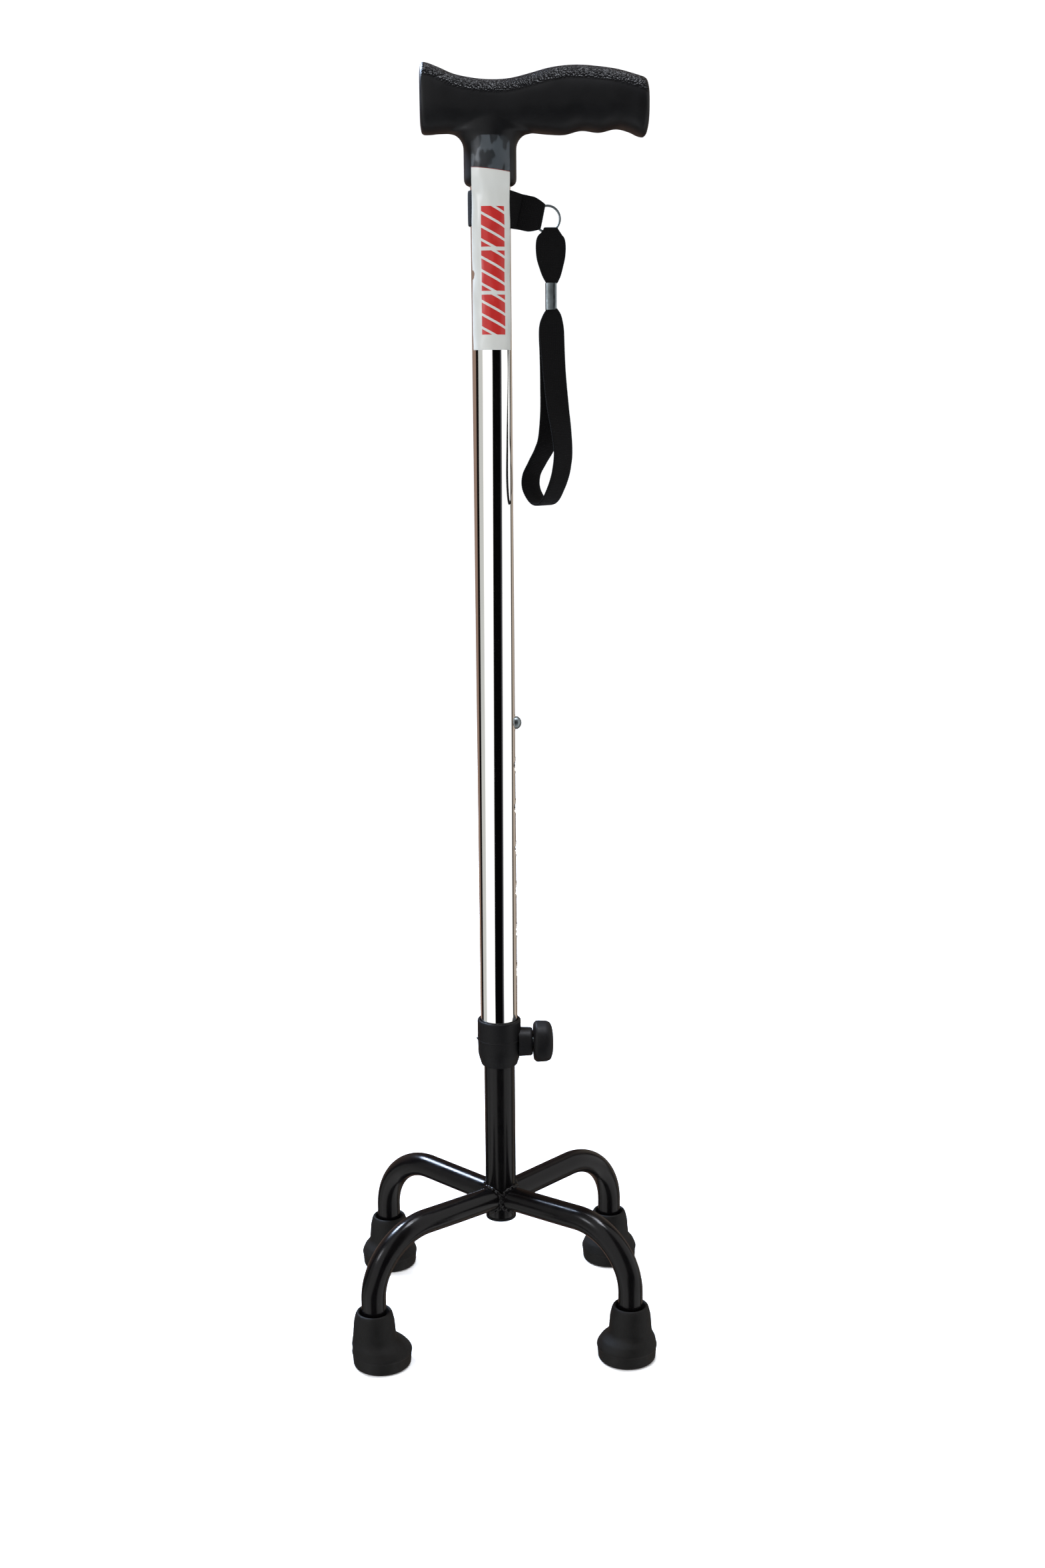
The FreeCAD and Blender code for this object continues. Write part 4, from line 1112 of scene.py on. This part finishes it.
def build_world(look):
    """White surroundings for light, and the banded studio for mirror reflections."""
    world = bpy.data.worlds.new("studio")
    bpy.context.scene.world = world
    world.use_nodes = True
    tree = world.node_tree
    tree.nodes.clear()
    bands = flag_bands(tree, add(tree, "TexCoord")["Generated"])
    glossy = add(tree, "LightPath")["Is Glossy Ray"]
    tone = add(tree, "Mix", tones(glossy, tuple(look.surround), bands), data_type="RGBA")[2]
    strength = add(tree, "Math", {0: glossy, 1: look.mirror_lift}, operation="MULTIPLY")[0]
    strength = add(tree, "Math", {0: strength, 1: 1.0}, operation="ADD")[0]
    strength = add(tree, "Math", {0: strength, 1: look.ambient}, operation="MULTIPLY")[0]
    shade = add(tree, "Background", {"Color": tone, "Strength": strength})
    add(tree, "OutputWorld", {"Surface": shade["Background"]})


def area_light(name, place_mm, aim_mm, size, power, tint):
    """A soft panel lamp that faces a point; places in millimetres, size in metres."""
    data = bpy.data.lights.new(name, "AREA")
    data.shape = "RECTANGLE"
    data.size, data.size_y = size
    data.energy = power
    data.color = linear(tint)[:3]
    lamp = bpy.data.objects.new(name, data)
    bpy.context.scene.collection.objects.link(lamp)
    where = Vector(place_mm) * MM
    lamp.location = where
    lamp.rotation_mode = "QUATERNION"
    lamp.rotation_quaternion = (Vector(aim_mm) * MM - where).to_track_quat("-Z", "Y")


def build_floor(look):
    """Pale sweep: flat floor that curves up behind into a wall; mirrors don't see it."""
    radius, reach, rise = 900.0, 2600.0, 3200.0
    arc = np.linspace(0, math.pi / 2, 16)
    line = [(-3200, 0)]
    line += [(reach + radius * math.sin(a), radius * (1 - math.cos(a))) for a in arc]
    line += [(reach + radius, rise)]
    y, z = np.array(line).T
    x = np.array([-5200.0, 5200.0])
    grid = np.stack([np.tile(x, (len(y), 1)), np.tile(y[:, None], 2), np.tile(z[:, None], 2)], axis=-1)
    mesh = mesh_from_grid("sweep", grid, wrap_cols=False)
    mesh.shade_smooth()
    obj = bpy.data.objects.new("sweep", mesh)
    bpy.context.scene.collection.objects.link(obj)
    paper = {"Base Color": tuple(look.floor_tone), "Roughness": 0.95, "Specular IOR Level": 0.0}
    mesh.materials.append(shaded(blank("white_paper_sweep"), paper))
    obj.visible_glossy = False


def build_camera(look):
    """Camera at the product's three-quarter-down view, with a slight roll."""
    data = bpy.data.cameras.new("camera")
    data.lens = look.lens
    data.sensor_width = 36.0
    camera = bpy.data.objects.new("camera", data)
    bpy.context.scene.collection.objects.link(camera)
    where = Matrix.Translation(Vector((look.camera_x, look.camera_y, look.camera_z)) * MM)
    turn = Matrix.Rotation(look.camera_turn, 4, "Z")
    tilt = Matrix.Rotation(math.pi / 2 - look.camera_pitch, 4, "X")
    roll = Matrix.Rotation(look.camera_roll, 4, "Z")
    camera.matrix_world = where @ turn @ tilt @ roll
    data.clip_start, data.clip_end = 0.05, 50
    bpy.context.scene.camera = camera


def build_stage(look):
    """Surroundings, floor, three lamps and the camera."""
    build_world(look)
    build_floor(look)
    area_light("overhead", (150, 20, 1500), (0, 0, 72), (0.5, 0.34), look.overhead, "#F1F5FF")
    area_light("key", (-760, 700, 1400), (0, 0, 72), (0.42, 0.42), look.key, "#CFE2FF")
    area_light("side", (-800, -480, 800), (0, 0, 60), (0.22, 0.22), look.side, "#F4F7FF")
    build_camera(look)
    bpy.context.scene.view_settings.view_transform = "Standard"


# ---------------------------------------------------------------- properties
class CaneSizes(bpy.types.PropertyGroup):
    """Sizes of the pieces. Lengths are millimetres, which no Blender unit shows, so they carry none."""

    neck_wall: FloatProperty(
        name="Neck wall", description="Handle neck over the tube, mm",
        default=3.4, min=1,
    )
    grip_width: FloatProperty(
        name="Grip width", description="Handle's depth front to back, mm",
        default=30.4, min=10,
    )
    grain_depth: FloatProperty(
        name="Grain depth", description="Pebbled strip below the top line, mm",
        default=8.2,
    )
    burr: FloatProperty(
        name="Hole burr", description="Raised lip round each hole, mm",
        default=0.22,
    )
    hub_height: FloatProperty(
        name="Hub height", description="Height of the leg axes at the shaft, mm",
        default=74.0,
    )
    leg_rise: FloatProperty(
        name="Leg rise", description="Rise of the legs going outward",
        default=math.radians(2.5), subtype="ANGLE",
    )
    leg_diameter: FloatProperty(
        name="Leg diameter", description="Leg tube, mm",
        default=14.5,
    )
    bend_radius: FloatProperty(
        name="Bend radius", description="Leg bend, centre line, mm",
        default=36.0,
    )
    lean_left: FloatProperty(
        name="Left lean", description="Front left tip's neck stands outwards by, mm",
        default=4.2,
    )
    lean_right: FloatProperty(
        name="Right lean", description="Front right tip's neck stands outwards by, mm",
        default=2.0,
    )
    weld_size: FloatProperty(
        name="Weld size", description="Half thickness of the weld bead, mm",
        default=1.7,
    )
    clear_height: FloatProperty(
        name="Clear end", description="Where the label turns clear, mm over the neck's foot",
        default=8.0,
    )
    web_thickness: FloatProperty(
        name="Web thickness", description="Webbing, mm",
        default=1.4,
    )
    web_width: FloatProperty(
        name="Web width", description="Webbing, mm",
        default=16.4,
    )
    tail_slope: FloatProperty(
        name="Tail slope", description="Fall of the band's tail",
        default=math.radians(12.0), subtype="ANGLE",
    )


class CaneLook(bpy.types.PropertyGroup):
    """Light, floor and camera."""

    ambient: FloatProperty(
        name="Ambient", description="Strength of the surroundings",
        default=1.0,
    )
    surround: FloatVectorProperty(
        name="Surround", description="Colour of the surroundings",
        default=linear("#FFFFFF"), size=4, subtype="COLOR",
    )
    mirror_lift: FloatProperty(
        name="Mirror lift", description="How much brighter mirrors see the surroundings",
        default=0.16,
    )
    overhead: FloatProperty(
        name="Overhead", description="Overhead panel, W",
        default=15.0, unit="POWER",
    )
    key: FloatProperty(
        name="Key", description="Bright panel high at the back left, W",
        default=55.0, unit="POWER",
    )
    side: FloatProperty(
        name="Side", description="Small lamp at the front left, W",
        default=3.0, unit="POWER",
    )
    floor_tone: FloatVectorProperty(
        name="Floor", description="Floor colour",
        default=linear("#FFFFFF"), size=4, subtype="COLOR",
    )
    lens: FloatProperty(
        name="Lens", description="Focal length, mm",
        default=42.39, unit="CAMERA",
    )
    camera_x: FloatProperty(
        name="Camera X", description="Camera's place along X, mm",
        default=-20.7,
    )
    camera_y: FloatProperty(
        name="Camera Y", description="Camera's place along Y, mm",
        default=-1058.8,
    )
    camera_z: FloatProperty(
        name="Camera Z", description="Camera's place along Z, mm",
        default=550.3,
    )
    camera_turn: FloatProperty(
        name="Turn", description="Turn to the left",
        default=math.radians(-1.94), subtype="ANGLE",
    )
    camera_pitch: FloatProperty(
        name="Pitch", description="Fall below level",
        default=math.radians(11.67), subtype="ANGLE",
    )
    camera_roll: FloatProperty(
        name="Roll", description="Roll about the line of sight",
        default=math.radians(-0.443), subtype="ANGLE",
    )


# ---------------------------------------------------------------- operators
class CANE_OT_handle(bpy.types.Operator):
    """Build the moulded handle"""
    bl_idname = "cane.handle"
    bl_label = "Handle"

    def execute(self, context):
        build_handle(context.scene.cane_sizes)
        return {"FINISHED"}


class CANE_OT_tube(bpy.types.Operator):
    """Build the polished outer tube with its holes"""
    bl_idname = "cane.tube"
    bl_label = "Outer tube"

    def execute(self, context):
        build_tube(context.scene.cane_sizes)
        return {"FINISHED"}


class CANE_OT_stem(bpy.types.Operator):
    """Build the painted inner tube and its plug"""
    bl_idname = "cane.stem"
    bl_label = "Stem"

    def execute(self, context):
        build_stem()
        return {"FINISHED"}


class CANE_OT_legs(bpy.types.Operator):
    """Build the four bent legs and the weld bead"""
    bl_idname = "cane.legs"
    bl_label = "Legs"

    def execute(self, context):
        build_legs(context.scene.cane_sizes)
        return {"FINISHED"}


class CANE_OT_tips(bpy.types.Operator):
    """Build the four rubber tips"""
    bl_idname = "cane.tips"
    bl_label = "Tips"

    def execute(self, context):
        build_tips(context.scene.cane_sizes)
        return {"FINISHED"}


class CANE_OT_button(bpy.types.Operator):
    """Build the snap button"""
    bl_idname = "cane.button"
    bl_label = "Snap button"

    def execute(self, context):
        build_button()
        return {"FINISHED"}


class CANE_OT_collar(bpy.types.Operator):
    """Build the lock collar"""
    bl_idname = "cane.collar"
    bl_label = "Lock collar"

    def execute(self, context):
        build_collar()
        return {"FINISHED"}


class CANE_OT_knob(bpy.types.Operator):
    """Build the lock knob"""
    bl_idname = "cane.knob"
    bl_label = "Lock knob"

    def execute(self, context):
        build_knob()
        return {"FINISHED"}


class CANE_OT_label(bpy.types.Operator):
    """Build the label film"""
    bl_idname = "cane.label"
    bl_label = "Label"

    def execute(self, context):
        build_label(context.scene.cane_sizes)
        return {"FINISHED"}


class CANE_OT_band(bpy.types.Operator):
    """Build the webbing band round the tube"""
    bl_idname = "cane.band"
    bl_label = "Band"

    def execute(self, context):
        build_band(context.scene.cane_sizes)
        return {"FINISHED"}


class CANE_OT_strap(bpy.types.Operator):
    """Build the two loops of the wrist strap"""
    bl_idname = "cane.strap"
    bl_label = "Wrist strap"

    def execute(self, context):
        build_strap()
        return {"FINISHED"}


class CANE_OT_ring(bpy.types.Operator):
    """Build the split ring"""
    bl_idname = "cane.ring"
    bl_label = "Split ring"

    def execute(self, context):
        build_ring()
        return {"FINISHED"}


class CANE_OT_crimp(bpy.types.Operator):
    """Build the steel crimp"""
    bl_idname = "cane.crimp"
    bl_label = "Crimp"

    def execute(self, context):
        build_crimp()
        return {"FINISHED"}


class CANE_OT_hidden(bpy.types.Operator):
    """Give the inner pieces their finishes"""
    bl_idname = "cane.hidden"
    bl_label = "Inner pieces"

    def execute(self, context):
        build_hidden()
        return {"FINISHED"}


class CANE_OT_stage(bpy.types.Operator):
    """Build the floor, the lights and the camera"""
    bl_idname = "cane.stage"
    bl_label = "Stage"

    def execute(self, context):
        build_stage(context.scene.cane_look)
        return {"FINISHED"}


OPERATORS = (
    CANE_OT_handle, CANE_OT_tube, CANE_OT_stem, CANE_OT_legs, CANE_OT_tips, CANE_OT_button, CANE_OT_collar,
    CANE_OT_knob, CANE_OT_label, CANE_OT_band, CANE_OT_strap, CANE_OT_ring, CANE_OT_crimp, CANE_OT_hidden,
    CANE_OT_stage,
)


class CANE_PT_panel(bpy.types.Panel):
    """Lists the builders"""
    bl_idname = "CANE_PT_panel"
    bl_label = "Quad walking cane"
    bl_space_type = "VIEW_3D"
    bl_region_type = "UI"
    bl_category = "Cane"

    def draw(self, context):
        for group in (context.scene.cane_sizes, context.scene.cane_look):
            for name in group.__annotations__:
                self.layout.prop(group, name)
        for operator in OPERATORS:
            self.layout.operator(operator.bl_idname)


CLASSES = (CaneSizes, CaneLook) + OPERATORS + (CANE_PT_panel,)


def register():
    """Registers the classes and hangs the properties on the scene."""
    for cls in CLASSES:
        bpy.utils.register_class(cls)
    bpy.types.Scene.cane_sizes = PointerProperty(type=CaneSizes)
    bpy.types.Scene.cane_look = PointerProperty(type=CaneLook)


def unregister():
    """Takes back what register did."""
    del bpy.types.Scene.cane_look
    del bpy.types.Scene.cane_sizes
    for cls in reversed(CLASSES):
        bpy.utils.unregister_class(cls)


def main():
    """Registers the classes, then builds every piece and the stage."""
    register()
    for operator in OPERATORS:
        group, name = operator.bl_idname.split(".")
        getattr(getattr(bpy.ops, group), name)()


if __name__ == "__main__":
    main()
